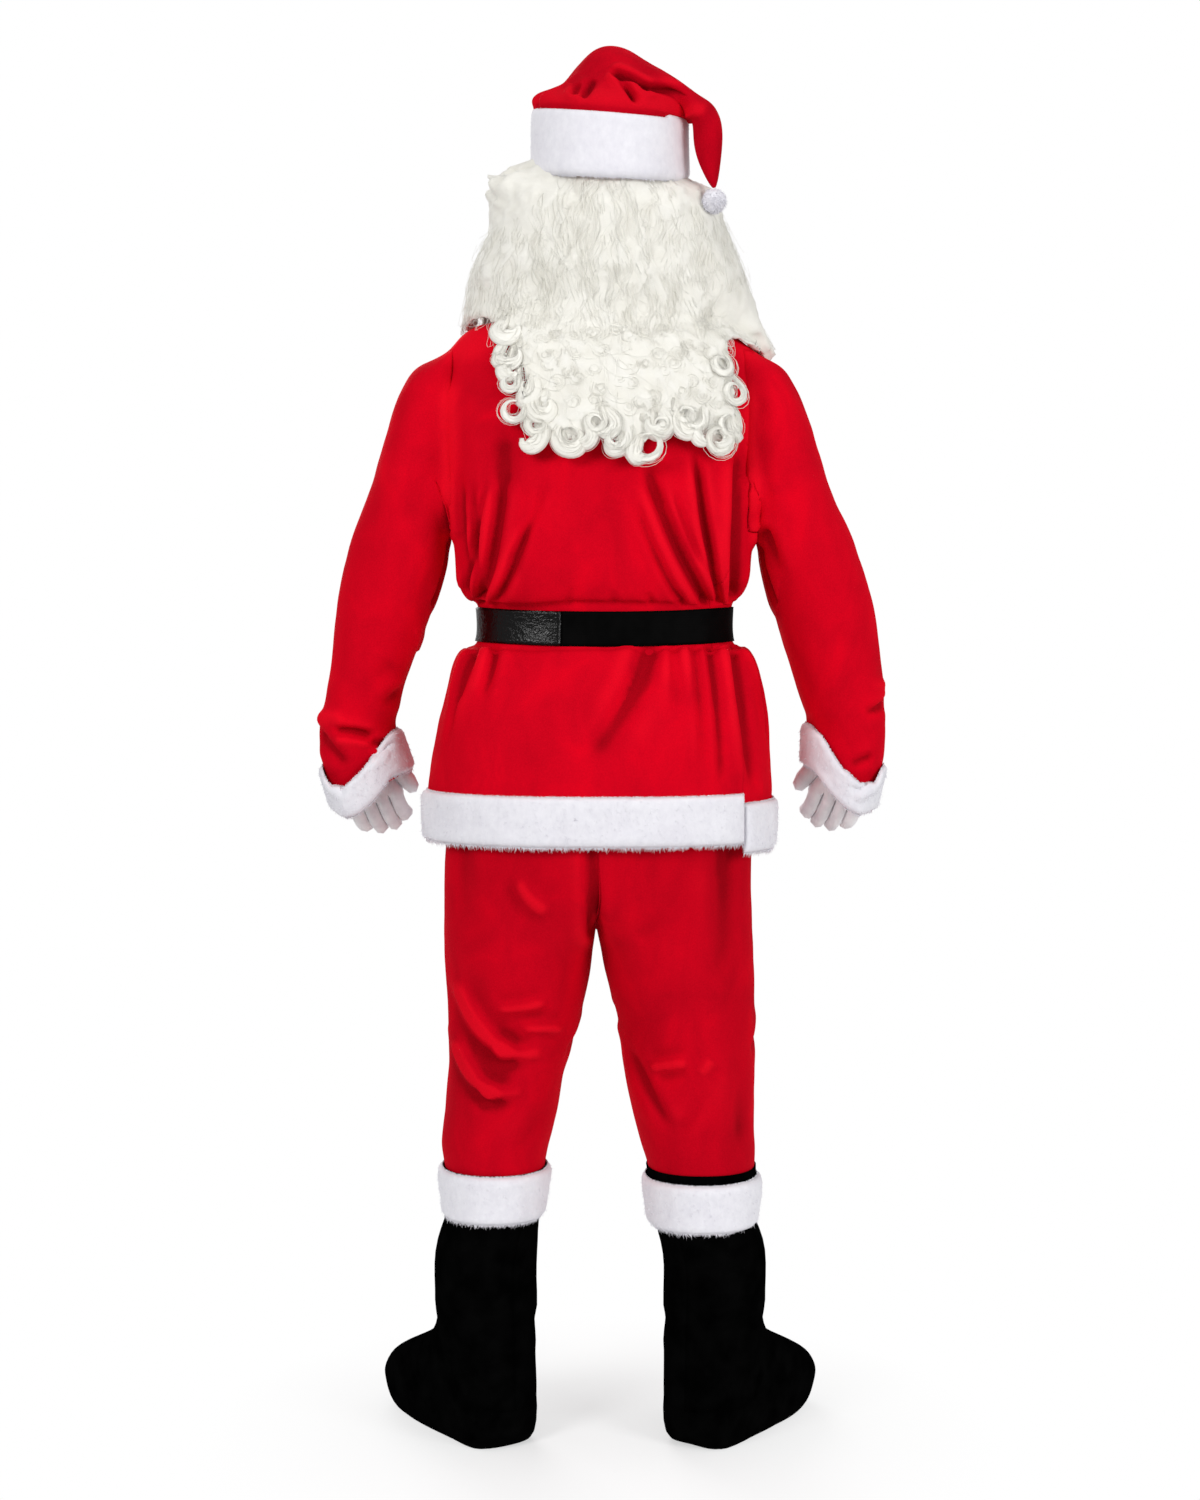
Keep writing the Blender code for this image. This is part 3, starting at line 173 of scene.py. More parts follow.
TROUSER_CREASES = creases(
    "back",
    # drag lines behind the left knee
    (0.184, 0.640, 0.122, 0.543, -0.012, 0.0095, -0.0065, 0.6, 1.0),
    (0.122, 0.543, 0.068, 0.541, -0.004, 0.0085, -0.0055, 1.0, 0.3),
    (0.186, 0.560, 0.140, 0.489, -0.010, 0.0095, -0.0060, 0.7, 1.0),
    (0.140, 0.489, 0.092, 0.492, -0.004, 0.0085, -0.0050, 1.0, 0.2),
    (0.138, 0.598, 0.060, 0.609, -0.003, 0.0070, -0.0042, 0.6, 0.9),
    (0.102, 0.572, 0.040, 0.567, 0.002, 0.0065, -0.0040, 0.6, 0.9),
    (0.101, 0.780, 0.058, 0.728, -0.010, 0.0090, -0.0045, 0.6, 0.9),
    (0.172, 0.860, 0.173, 0.700, 0.000, 0.0120, 0.0030, 1.0, 0.2),
    (0.060, 0.470, 0.110, 0.400, 0.000, 0.0120, 0.0025, 0.4, 0.6),
    # the seat and the right leg
    (0.009, 0.860, 0.004, 0.700, 0.000, 0.0090, 0.0042, 0.6, 1.0),
    (-0.164, 0.860, -0.160, 0.605, 0.005, 0.0160, 0.0030, 1.0, 0.3),
    (-0.094, 0.735, -0.050, 0.688, 0.000, 0.0160, 0.0020, 0.3, 0.9),
    (-0.038, 0.552, -0.106, 0.428, -0.006, 0.0085, 0.0034, 0.7, 0.8),
    (-0.106, 0.428, -0.139, 0.492, -0.004, 0.0080, 0.0024, 0.8, 0.2),
    (-0.068, 0.515, -0.124, 0.527, 0.002, 0.0075, -0.0045, 0.9, 0.9),
    (-0.134, 0.510, -0.152, 0.532, 0.000, 0.0080, -0.0030, 0.5, 0.9),
    (-0.186, 0.560, -0.192, 0.400, 0.000, 0.0120, 0.0025, 0.4, 0.8),
) + creases(
    "front",
    (0.030, 0.735, 0.100, 0.790, 0.006, 0.0120, 0.0045, 1.0, 0.2),
    (-0.030, 0.735, -0.105, 0.785, -0.006, 0.0120, 0.0045, 1.0, 0.2),
    (0.000, 0.860, 0.000, 0.705, 0.000, 0.0080, 0.0050, 0.5, 1.0),
    (0.060, 0.560, 0.150, 0.530, 0.008, 0.0100, 0.0055, 0.9, 0.3),
    (0.072, 0.520, 0.160, 0.500, -0.006, 0.0090, 0.0050, 0.8, 0.3),
    (0.170, 0.450, 0.100, 0.420, 0.006, 0.0100, 0.0045, 0.8, 0.3),
    (-0.056, 0.560, -0.150, 0.535, -0.008, 0.0100, 0.0055, 0.9, 0.3),
    (-0.190, 0.500, -0.110, 0.470, -0.006, 0.0100, 0.0050, 0.8, 0.3),
    (-0.080, 0.430, -0.160, 0.410, 0.004, 0.0100, 0.0040, 0.7, 0.3),
) + creases(
    "left",
    (0.020, 0.580, -0.060, 0.540, 0.006, 0.0100, 0.0040, 0.7, 0.4),
) + creases(
    "right",
    (-0.020, 0.570, 0.050, 0.530, 0.006, 0.0100, 0.0040, 0.7, 0.4),
)

HAT_CREASES = creases(
    "back",
    (-0.012, 1.812, -0.049, 1.764, 0.004, 0.0050, 0.0060, 0.4, 1.0),
    (-0.028, 1.802, -0.062, 1.784, 0.002, 0.0045, 0.0070, 1.0, 1.0),
    (-0.062, 1.784, -0.122, 1.776, 0.003, 0.0050, 0.0060, 1.0, 0.7),
    (0.022, 1.794, 0.026, 1.778, 0.000, 0.0045, 0.0045, 0.6, 1.0),
    (0.002, 1.800, 0.014, 1.775, 0.000, 0.0060, 0.0045, 0.6, 1.0),
    (-0.060, 1.830, -0.125, 1.790, 0.003, 0.0070, 0.0030, 0.3, 0.8),
    (-0.128, 1.770, -0.140, 1.706, 0.004, 0.0050, 0.0040, 0.8, 0.6),
) + creases(
    "front",
    (0.010, 1.820, -0.030, 1.774, -0.004, 0.0060, 0.0060, 0.4, 1.0),
    (-0.040, 1.800, -0.110, 1.776, -0.003, 0.0060, 0.0060, 0.8, 0.6),
    (0.040, 1.796, 0.044, 1.776, 0.000, 0.0060, 0.0050, 0.5, 1.0),
) + creases(
    "left",
    (0.020, 1.810, 0.030, 1.776, 0.000, 0.0070, 0.0050, 0.4, 1.0),
    (-0.030, 1.806, -0.040, 1.776, 0.000, 0.0070, 0.0050, 0.4, 1.0),
)

BOOT_CREASES = creases(
    "back",
    (0.200, 0.150, 0.130, 0.132, 0.004, 0.0120, 0.0035, 0.6, 0.9),
    (0.110, 0.190, 0.170, 0.170, 0.004, 0.0140, 0.0025, 0.5, 0.5),
    (-0.210, 0.150, -0.140, 0.130, -0.004, 0.0120, 0.0035, 0.6, 0.9),
    (-0.120, 0.185, -0.180, 0.170, 0.004, 0.0140, 0.0025, 0.5, 0.5),
) + creases(
    "front",
    (0.110, 0.170, 0.190, 0.160, 0.006, 0.0100, 0.0050, 0.8, 0.8),
    (0.120, 0.200, 0.180, 0.205, -0.004, 0.0110, 0.0040, 0.7, 0.6),
    (-0.120, 0.170, -0.200, 0.160, -0.006, 0.0100, 0.0050, 0.8, 0.8),
    (-0.130, 0.202, -0.190, 0.205, 0.004, 0.0110, 0.0040, 0.7, 0.6),
) + creases(
    "left",
    (0.030, 0.160, -0.050, 0.150, 0.004, 0.0120, 0.0040, 0.7, 0.7),
) + creases(
    "right",
    (0.030, 0.160, -0.050, 0.150, 0.004, 0.0120, 0.0040, 0.7, 0.7),
)


# ---------------------------------------------------------------- materials
def linear(hex_colour):
    """The linear RGBA of an sRGB colour written as six hex digits."""
    channels = [int(hex_colour[i:i + 2], 16) / 255 for i in (0, 2, 4)]
    return [c / 12.92 if c <= 0.04045 else ((c + 0.055) / 1.055) ** 2.4 for c in channels] + [1.0]


def new_material(name, **finish):
    """A material whose Principled shader has a finish; returns it, its tree and that shader."""
    material = bpy.data.materials.new(name)
    material.use_nodes = True
    shader = material.node_tree.nodes["Principled BSDF"]
    for socket, value in finish.items():
        shader.inputs[socket.replace("_", " ").title().replace("Ior", "IOR")].default_value = value
    return material, material.node_tree, shader


def add_node(tree, kind, links=(), stops=(), **settings):
    """One node with its settings and links.

    A link is an input's name or place, and the socket or value that goes there.  A stop is
    a place on a colour ramp and its hex colour.  A setting is a property or an input.
    """
    node = tree.nodes.new(kind)
    for name, value in settings.items():
        if hasattr(node, name):
            setattr(node, name, value)
        else:
            node.inputs[name.replace("_", " ")].default_value = value
    for name, source in links:
        if isinstance(source, bpy.types.NodeSocket):
            tree.links.new(source, node.inputs[name])
        else:
            node.inputs[name].default_value = source
    for index, (place, colour) in enumerate(stops):
        elements = node.color_ramp.elements
        element = elements[index] if index < 2 else elements.new(place)
        element.position = place
        element.color = linear(colour)
    return node


def set_bump(tree, shader, heights):
    """Chains bumps onto the shader; heights are (socket, depth in metres, strength)."""
    normal = None
    for socket, depth, strength in heights:
        links = [("Height", socket)] + ([("Normal", normal)] if normal else [])
        node = add_node(tree, "ShaderNodeBump", links, Distance=depth, Strength=strength)
        normal = node.outputs["Normal"]
    tree.links.new(normal, shader.inputs["Normal"])


def unevenness(tree, size, detail=2.0, stretch=(1.0, 1.0, 1.0), roughness=0.5, distortion=0.0):
    """Noise whose lumps measure about size metres, on the piece's own coordinates."""
    place = add_node(tree, "ShaderNodeTexCoord").outputs["Object"]
    stretched = add_node(tree, "ShaderNodeMapping", [("Vector", place)], Scale=stretch)
    return add_node(tree, "ShaderNodeTexNoise", [("Vector", stretched.outputs["Vector"])],
                    Scale=1.0 / size, Detail=detail, Roughness=roughness,
                    Distortion=distortion).outputs["Fac"]


def velour(name, deep, low, middle, high, bright):
    """Polyester velour: a knit with a cut pile, matt head on and bright where it turns away.

    The pile lies in patches that look lighter or darker, and its creases get painted shade and
    their ridges painted highlight.
    """
    material, tree, shader = new_material(
        name, roughness=0.85, specular_ior_level=0.03, sheen_weight=0.30,
        sheen_roughness=0.42, sheen_tint=linear("FF0027"))
    patches = unevenness(tree, size=0.055, detail=3.0, stretch=(1.0, 1.0, 0.55),
                         roughness=0.55, distortion=0.6)
    napped = add_node(tree, "ShaderNodeValToRGB", [("Fac", patches)],
                      [(0.32, low), (0.52, middle), (0.72, high)])
    # Painted shade and highlight: the crease attribute holds how far the cloth is lifted or sunk.
    crease = add_node(tree, "ShaderNodeAttribute", attribute_name="crease").outputs["Fac"]
    raised = add_node(tree, "ShaderNodeMapRange", [("Value", crease)], From_Min=-1.0)
    painted_shade_and_highlight = add_node(tree, "ShaderNodeValToRGB", [("Fac", raised.outputs["Result"])],
                      [(0.05, deep), (0.5, middle), (0.9, bright)])
    strength = add_node(tree, "ShaderNodeMath", [("Value", crease)], operation="ABSOLUTE")
    share = add_node(tree, "ShaderNodeMath", [(0, strength.outputs["Value"]), (1, 0.7)],
                     operation="MULTIPLY", use_clamp=True)
    # mixes the painted shade and highlight in, the more the farther the cloth is lifted or sunk
    creased = add_node(tree, "ShaderNodeMix", [
        (0, share.outputs["Value"]), (6, napped.outputs["Color"]), (7, painted_shade_and_highlight.outputs["Color"])],
        data_type="RGBA")
    pile = unevenness(tree, size=0.0016, detail=2.0)      # coarser than real pile, so that it shows
    specks = add_node(tree, "ShaderNodeValToRGB", [("Fac", pile)], [(0.3, deep), (0.7, bright)])
    flecked = add_node(tree, "ShaderNodeMix", [
        (0, 0.14), (6, creased.outputs[2]), (7, specks.outputs["Color"])], data_type="RGBA")
    tree.links.new(flecked.outputs[2], shader.inputs["Base Color"])
    lay = unevenness(tree, size=0.012, detail=3.0, stretch=(1.0, 1.0, 0.35))
    set_bump(tree, shader, [(lay, 0.0012, 0.35), (pile, 0.0004, 0.35)])
    return material


def plush():
    """Acrylic fur plush: soft white pile a few millimetres long, which hides its own lay.

    Light scatters among the hairs, so it looks smooth, with a cool tint in its shade.
    """
    material, tree, shader = new_material(
        "acrylic_plush", roughness=0.9, specular_ior_level=0.05, sheen_weight=0.2,
        sheen_roughness=0.5)
    clumps = unevenness(tree, size=0.008, detail=3.0, stretch=(1.0, 1.0, 0.7), roughness=0.6)
    tufts = add_node(tree, "ShaderNodeValToRGB", [("Fac", clumps)],
                     [(0.25, "D9D8DF"), (0.5, "E1E0E6"), (0.75, "E9E8ED")])
    broad = unevenness(tree, size=0.045, detail=2.0)
    drifts = add_node(tree, "ShaderNodeValToRGB", [("Fac", broad)],
                      [(0.3, "DCD9E1"), (0.7, "EBEAEF")])
    white = add_node(tree, "ShaderNodeMix", [
        (0, 0.35), (6, tufts.outputs["Color"]), (7, drifts.outputs["Color"])], data_type="RGBA")
    tree.links.new(white.outputs[2], shader.inputs["Base Color"])
    hairs = unevenness(tree, size=0.0020, detail=3.0, stretch=(1.0, 1.0, 0.4))
    set_bump(tree, shader, [(clumps, 0.0012, 0.25), (hairs, 0.0009, 0.35)])
    return material


def hair():
    """Modacrylic wig hair: off-white, silky along each lock, with fine lines between hairs.

    The lines are drawn 0.9 mm apart and run along the lock's map, many times finer in life.
    """
    material, tree, shader = new_material(
        "modacrylic_hair", roughness=0.6, specular_ior_level=0.20, sheen_weight=0.35,
        sheen_roughness=0.5)
    along = add_node(tree, "ShaderNodeUVMap", uv_map="lock").outputs["UV"]
    # This attribute holds each lock's own lightness, with painted shade at roots and in hollows and
    # painted light on raised hair.
    tone = add_node(tree, "ShaderNodeAttribute", attribute_name="tone").outputs["Fac"]
    shift = add_node(tree, "ShaderNodeCombineXYZ", [("X", tone)]).outputs["Vector"]
    placed = add_node(tree, "ShaderNodeVectorMath", [(0, along), (1, shift)], operation="ADD")
    drawn_out = add_node(tree, "ShaderNodeMapping", [("Vector", placed.outputs["Vector"])],
                         Scale=(1.0, 0.045, 1.0)).outputs["Vector"]
    lines = add_node(tree, "ShaderNodeTexNoise", [("Vector", drawn_out)], Scale=1 / 0.0009,
                     Detail=2.0, Roughness=0.6).outputs["Fac"]
    groups = add_node(tree, "ShaderNodeTexNoise", [("Vector", drawn_out)], Scale=1 / 0.0030,
                      Detail=2.0).outputs["Fac"]
    locks = add_node(tree, "ShaderNodeValToRGB", [("Fac", tone)],
                     [(0.0, "DFDCD1"), (0.45, "EAE8DF"), (1.0, "F3F2EC")])
    hairs = add_node(tree, "ShaderNodeValToRGB", [("Fac", lines)],
                     [(0.30, "D6D2C6"), (0.58, "F2F0E9")])
    lined = add_node(tree, "ShaderNodeMix", [
        (0, 0.30), (6, locks.outputs["Color"]), (7, hairs.outputs["Color"])], data_type="RGBA")
    tree.links.new(lined.outputs[2], shader.inputs["Base Color"])
    set_bump(tree, shader, [(groups, 0.0014, 0.30), (lines, 0.0006, 0.4)])
    return material


def vinyl():
    """Embossed PVC on a knit backing: glossy black with a leather grain and soft wrinkles."""
    material, tree, shader = new_material(
        "embossed_vinyl", base_color=linear("030303"), roughness=0.24, specular_ior_level=0.22)
    place = add_node(tree, "ShaderNodeTexCoord").outputs["Object"]
    pebble = add_node(tree, "ShaderNodeTexVoronoi", [("Vector", place)], Scale=1 / 0.0019,
                      feature="SMOOTH_F1").outputs["Distance"]
    wrinkle = unevenness(tree, size=0.012, detail=3.0, stretch=(1.0, 1.0, 2.2),
                         roughness=0.6, distortion=0.8)
    set_bump(tree, shader, [(wrinkle, 0.0030, 0.45), (pebble, 0.0007, 0.55)])
    return material


def satin():
    """Black polyester satin webbing: a soft broad gloss over a crosswise weave.

    A wave pattern repeats every 0.314 of its scale, so its ribs are drawn 3 mm apart, a few
    times coarser than real ones.
    """
    material, tree, shader = new_material(
        "black_satin_webbing", roughness=0.6, specular_ior_level=0.02, sheen_weight=0.0)
    place = add_node(tree, "ShaderNodeTexCoord").outputs["Object"]
    weave = add_node(tree, "ShaderNodeTexWave", [("Vector", place)], Scale=1 / 0.0096,
                     bands_direction="Z", Distortion=0.4).outputs["Fac"]
    soft = unevenness(tree, size=0.02, detail=2.0)
    colour = add_node(tree, "ShaderNodeValToRGB", [("Fac", soft)],
                      [(0.3, "030303"), (0.7, "060606")])
    tree.links.new(colour.outputs["Color"], shader.inputs["Base Color"])
    set_bump(tree, shader, [(soft, 0.0015, 0.2), (weave, 0.0002, 0.3)])
    return material


def felt():
    """Black brushed felt: it takes nearly all light, with a faint haze of fibre ends."""
    material, tree, shader = new_material(
        "black_brushed_felt", roughness=0.95, specular_ior_level=0.0, sheen_weight=0.0)
    fibres = unevenness(tree, size=0.0020, detail=3.0)
    patches = unevenness(tree, size=0.03, detail=2.0)
    colour = add_node(tree, "ShaderNodeValToRGB", [("Fac", patches)],
                      [(0.3, "020202"), (0.7, "060606")])
    tree.links.new(colour.outputs["Color"], shader.inputs["Base Color"])
    set_bump(tree, shader, [(fibres, 0.0005, 0.4)])
    return material


def knit():
    """White nylon knit for gloves: courses of loops with a dull, slightly elastic look.

    The courses are drawn 3.5 mm apart, several times coarser than real ones, so that they show.
    """
    material, tree, shader = new_material(
        "white_nylon_knit", roughness=0.7, specular_ior_level=0.3, sheen_weight=0.2)
    place = add_node(tree, "ShaderNodeTexCoord").outputs["Object"]
    loops = add_node(tree, "ShaderNodeTexWave", [("Vector", place)], Scale=1 / 0.0110,
                     bands_direction="X", Distortion=1.5).outputs["Fac"]
    soft = unevenness(tree, size=0.015, detail=2.0)
    colour = add_node(tree, "ShaderNodeValToRGB", [("Fac", soft)],
                      [(0.3, "E3E0E3"), (0.7, "F3F1F2")])
    tree.links.new(colour.outputs["Color"], shader.inputs["Base Color"])
    set_bump(tree, shader, [(loops, 0.0004, 0.35)])
    return material


def brass():
    """Lacquered brass plate on a cast buckle: bright yellow metal with fine rubbed scratches."""
    material, tree, shader = new_material(
        "brass_plated_zinc", base_color=linear("D9B45A"), metallic=1.0, roughness=0.26)
    rubbed = unevenness(tree, size=0.004, detail=4.0, stretch=(1.0, 1.0, 8.0))
    rough = add_node(tree, "ShaderNodeMapRange", [("Value", rubbed)], To_Min=0.18, To_Max=0.38)
    tree.links.new(rough.outputs["Result"], shader.inputs["Roughness"])
    return material


def pale_floor():
    """A seamless white studio floor that glows with painted light: wholly far off, and by half near
    the suit, where the other half takes soft shadows.
    """
    material, tree, shader = new_material("studio_floor", base_color=linear("F6F6F6"),
                                          roughness=0.9, specular_ior_level=0.1)
    place = add_node(tree, "ShaderNodeTexCoord").outputs["Object"]
    near = add_node(tree, "ShaderNodeTexGradient", [("Vector", place)],
                    gradient_type="SPHERICAL").outputs["Fac"]
    share = add_node(tree, "ShaderNodeMapRange", [("Value", near)], From_Min=0.45,
                     From_Max=0.90, To_Max=0.50)
    # Painted light: the floor's own white glow, which lightens its shadow near the suit.
    glow = add_node(tree, "ShaderNodeEmission", Color=linear("FFFFFF"), Strength=1.0)
    mix = add_node(tree, "ShaderNodeMixShader", [
        (0, share.outputs["Result"]), (1, glow.outputs["Emission"]), (2, shader.outputs["BSDF"])])
    tree.links.new(mix.outputs["Shader"], tree.nodes["Material Output"].inputs["Surface"])
    return material


# Each velour: painted shade in creases and darkest flecks, three colours of the nap, then painted
# highlight on ridges and lightest flecks.
VELOUR = velour("jacket_velour", "78000A", "BE0018", "CC001A", "DC001B", "EC0A22")
TROUSER_VELOUR = velour("trouser_velour", "700009", "B00016", "BE0018", "CE0019", "E00A20")
HAT_VELOUR = velour("hat_velour", "5C0008", "A00013", "B20017", "C60019", "DC0A20")
PLUSH, HAIR, VINYL = plush(), hair(), vinyl()
SATIN, FELT, KNIT, BRASS = satin(), felt(), knit(), brass()


# ---------------------------------------------------------------- meshes
def read_points(mesh):
    points = np.empty(len(mesh.vertices) * 3, np.float32)
    mesh.vertices.foreach_get("co", points)
    return points.reshape(-1, 3).astype(float)


def write_points(mesh, points):
    mesh.vertices.foreach_set("co", points.astype(np.float32).ravel())
    mesh.update()


def smooth_step(values, low, high):
    share = np.clip((values - low) / (high - low), 0.0, 1.0)
    return share * share * (3 - 2 * share)


def evaluated(holder):
    """The holder's mesh with its modifiers, as a new mesh."""
    graph = bpy.context.evaluated_depsgraph_get()
    graph.update()
    return bpy.data.meshes.new_from_object(holder.evaluated_get(graph), depsgraph=graph)


def to_object(name, source):
    """An object from a mesh, or from a bmesh, which is freed."""
    mesh = source
    if isinstance(source, bmesh.types.BMesh):
        mesh = bpy.data.meshes.new(name)
        source.to_mesh(mesh)
        source.free()
    if "custom_normal" in mesh.attributes:      # the solids' own shading, before any crease
        mesh.attributes.remove(mesh.attributes["custom_normal"])
    mesh.shade_smooth()
    item = bpy.data.objects.new(name, mesh)
    bpy.context.scene.collection.objects.link(item)
    return item


def finish_piece(piece, material, nodes=(), wall=0.0):
    """Gives a piece its wall, its material and its place on the frame."""
    if wall:
        solid = piece.modifiers.new("wall", "SOLIDIFY")
        solid.thickness = wall
        solid.offset = -1.0
    piece.data.materials.clear()
    piece.data.materials.append(material)
    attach(piece, "root")
    if nodes:
        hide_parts(*nodes)
    return piece


WELD = 0.00002                # merges the doubled points of one solid
SEAM_WELD = 0.0006            # merges the points of two panels along their seam
RIM_ANGLE = math.radians(52)  # a sharper edge ends a solid's outer side
COVER_NEAR = 0.0032           # a trim covers the cloth that is nearer to it than this
ROUNDING_PASSES = 3


def outer_side(node, rim_angle=RIM_ANGLE):
    """The outer side of a hollow solid, without its rim and its lining, as a bmesh."""
    bm = bmesh.new()
    bm.from_mesh(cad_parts[node].data)
    bmesh.ops.remove_doubles(bm, verts=bm.verts, dist=WELD)
    bm.normal_update()
    regions = []
    seen = set()
    for first in bm.faces:
        if first in seen:
            continue
        region = [first]
        seen.add(first)
        for face in region:
            for edge in face.edges:
                for other in edge.link_faces:
                    if other not in seen and other.normal.angle(face.normal, 0.0) < rim_angle:
                        seen.add(other)
                        region.append(other)
        regions.append(region)
    outer = set(max(regions, key=lambda faces: sum(face.calc_area() for face in faces)))
    bmesh.ops.delete(bm, geom=[f for f in bm.faces if f not in outer], context="FACES")
    return bm


def weld_panels(nodes):
    """The outer sides of several solids as one bmesh of quads, welded at their seams."""
    cage = bmesh.new()
    cage.faces.layers.int.new("panel")
    for index, node in enumerate(nodes):
        side = outer_side(node)
        mesh = bpy.data.meshes.new(node)
        side.to_mesh(mesh)
        side.free()
        before = len(cage.faces)
        cage.from_mesh(mesh)
        bpy.data.meshes.remove(mesh)
        panel = cage.faces.layers.int["panel"]
        for face in list(cage.faces)[before:]:
            face[panel] = index
            face.material_index = index
    bmesh.ops.remove_doubles(cage, verts=cage.verts, dist=SEAM_WELD)
    bmesh.ops.join_triangles(cage, faces=cage.faces, cmp_materials=True,
                             angle_face_threshold=math.pi, angle_shape_threshold=math.pi)
    return cage


def mark_covered(cage, covers):
    """Marks the faces that each of the solids in covers lies on."""
    for node in covers:
        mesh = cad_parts[node].data
        tree = BVHTree.FromPolygons([v.co for v in mesh.vertices],
                                    [p.vertices for p in mesh.polygons])
        layer = cage.faces.layers.int.new(node)
        for face in cage.faces:
            distance = tree.find_nearest(face.calc_center_median())[3]
            face[layer] = int(distance < COVER_NEAR)


def rounded(cage, levels):
    """Subdivides a cage into a smooth mesh that still passes through the cage's points."""
    mesh = bpy.data.meshes.new("cage")
    cage.to_mesh(mesh)
    holder = to_object("cage", mesh)
    subdivision = holder.modifiers.new("round", "SUBSURF")
    subdivision.levels = subdivision.render_levels = levels
    wanted = read_points(mesh)
    control = wanted.copy()
    for _ in range(ROUNDING_PASSES):
        fine = evaluated(holder)
        control += wanted - read_points(fine)[:len(wanted)]
        bpy.data.meshes.remove(fine)
        write_points(mesh, control)
    fine = evaluated(holder)
    bpy.data.objects.remove(holder)
    return fine


LIFT_LIMITS = (-0.013, 0.006)  # the deepest trough and the highest ridge
# The crease attribute paints shade into troughs and highlight onto ridges, in full at this depth.
FULL_SHADE = 0.005             # the depth at which a crease is shaded in full


class Skin:
    """The fine outer side of a garment, plain and creased."""

    def __init__(self, panels, covers, levels):
        cage = weld_panels(panels)
        mark_covered(cage, covers)
        self.panels = list(panels)
        self.mesh = rounded(cage, levels)
        cage.free()
        self.plain = read_points(self.mesh)
        normals = np.empty(len(self.plain) * 3, np.float32)
        self.mesh.vertex_normals.foreach_get("vector", normals)
        self.normals = normals.reshape(-1, 3).astype(float)
        self.points = self.plain.copy()
        self.lift = np.zeros(len(self.plain))
        corners = np.empty(len(self.mesh.loops), np.int32)
        self.mesh.loops.foreach_get("vertex_index", corners)
        self.corners = corners.reshape(-1, 4)

    def face_values(self, layer):
        values = np.empty(len(self.mesh.polygons), np.int32)
        self.mesh.attributes[layer].data.foreach_get("value", values)
        return values

    def rise(self, amount):
        self.lift += amount
        self.points = self.plain + self.normals * self.lift[:, None]

    def crease(self, rows, freedom, strength=1.0):
        """Presses the creases in; freedom says how freely each point may move."""
        form = sum(profile(row, self.plain, self.normals) for row in rows)
        self.rise(np.clip(form * strength, *LIFT_LIMITS) * freedom)

    def ripple(self, height, size, freedom, seed):
        """Broad soft unevenness, as worn cloth has."""
        shift = Vector((seed, 0.7 * seed, 0.3 * seed))
        waves = np.array([noise.noise(Vector(p) / size + shift) for p in self.plain])
        self.rise(waves * height * freedom)

    def sink_seams(self, depth):
        """Draws the cloth in along the lines where two panels meet."""
        panel = np.repeat(self.face_values("panel"), 4)
        low = np.full(len(self.plain), len(self.panels))
        high = np.full(len(self.plain), -1)
        np.minimum.at(low, self.corners.ravel(), panel)
        np.maximum.at(high, self.corners.ravel(), panel)
        self.rise(np.where(low < high, -depth, 0.0))

    def patch(self, chosen, points):
        """The chosen faces with the given points, as a bmesh."""
        mesh = self.mesh.copy()
        write_points(mesh, points)
        # Each point's lift, for painted shade where the cloth sinks and painted highlight where it
        # rises.
        shade = mesh.attributes.new("crease", "FLOAT", "POINT")
        shade.data.foreach_set("value", np.clip(self.lift / FULL_SHADE, -1, 1).astype(np.float32))
        bm = bmesh.new()
        bm.from_mesh(mesh)
        bpy.data.meshes.remove(mesh)
        others = [face for face, inside in zip(bm.faces, chosen) if not inside]
        bmesh.ops.delete(bm, geom=others, context="FACES")
        bm.normal_update()
        return bm

    def panel_piece(self, node, material, slot, wall, triangles=0):
        """One panel's cloth; its flat places are thinned to come down to a count."""
        chosen = self.face_values("panel") == self.panels.index(node)
        piece = to_object(node + "_cloth", self.patch(chosen, self.points))
        if triangles:
            thin(piece, triangles)
        finish_piece(piece, material, [node], wall)


def thin(piece, triangles):
    """Collapses a piece's flattest places to a count of triangles, and keeps its rim."""
    bm = bmesh.new()
    bm.from_mesh(piece.data)
    inner = [vert.index for vert in bm.verts if not vert.is_boundary]
    bm.free()
    piece.vertex_groups.new(name="inner").add(inner, 1.0, "REPLACE")
    collapse = piece.modifiers.new("thin", "DECIMATE")
    collapse.ratio = min(triangles / (2 * len(piece.data.polygons)), 1.0)
    collapse.vertex_group = "inner"
    collapse.use_collapse_triangulate = True
    mesh = evaluated(piece)
    piece.modifiers.clear()
    piece.vertex_groups.clear()
    piece.data = mesh


BODY_HALF_WIDTH = 0.240       # past it, a side crease would reach the sleeve
FADE = 0.25                   # the share of a crease's length over which a soft end fades
CREASE_POINTS = 9
FACING = (0.02, 0.40)         # a crease fades out where the cloth turns away from its side
# Across a crease: height, place and width of its trough and its ridges, in its half widths.
ACROSS = [(-1.0, 0.0, 1.0), (0.42, 1.9, 1.2), (0.26, -2.1, 1.3)]


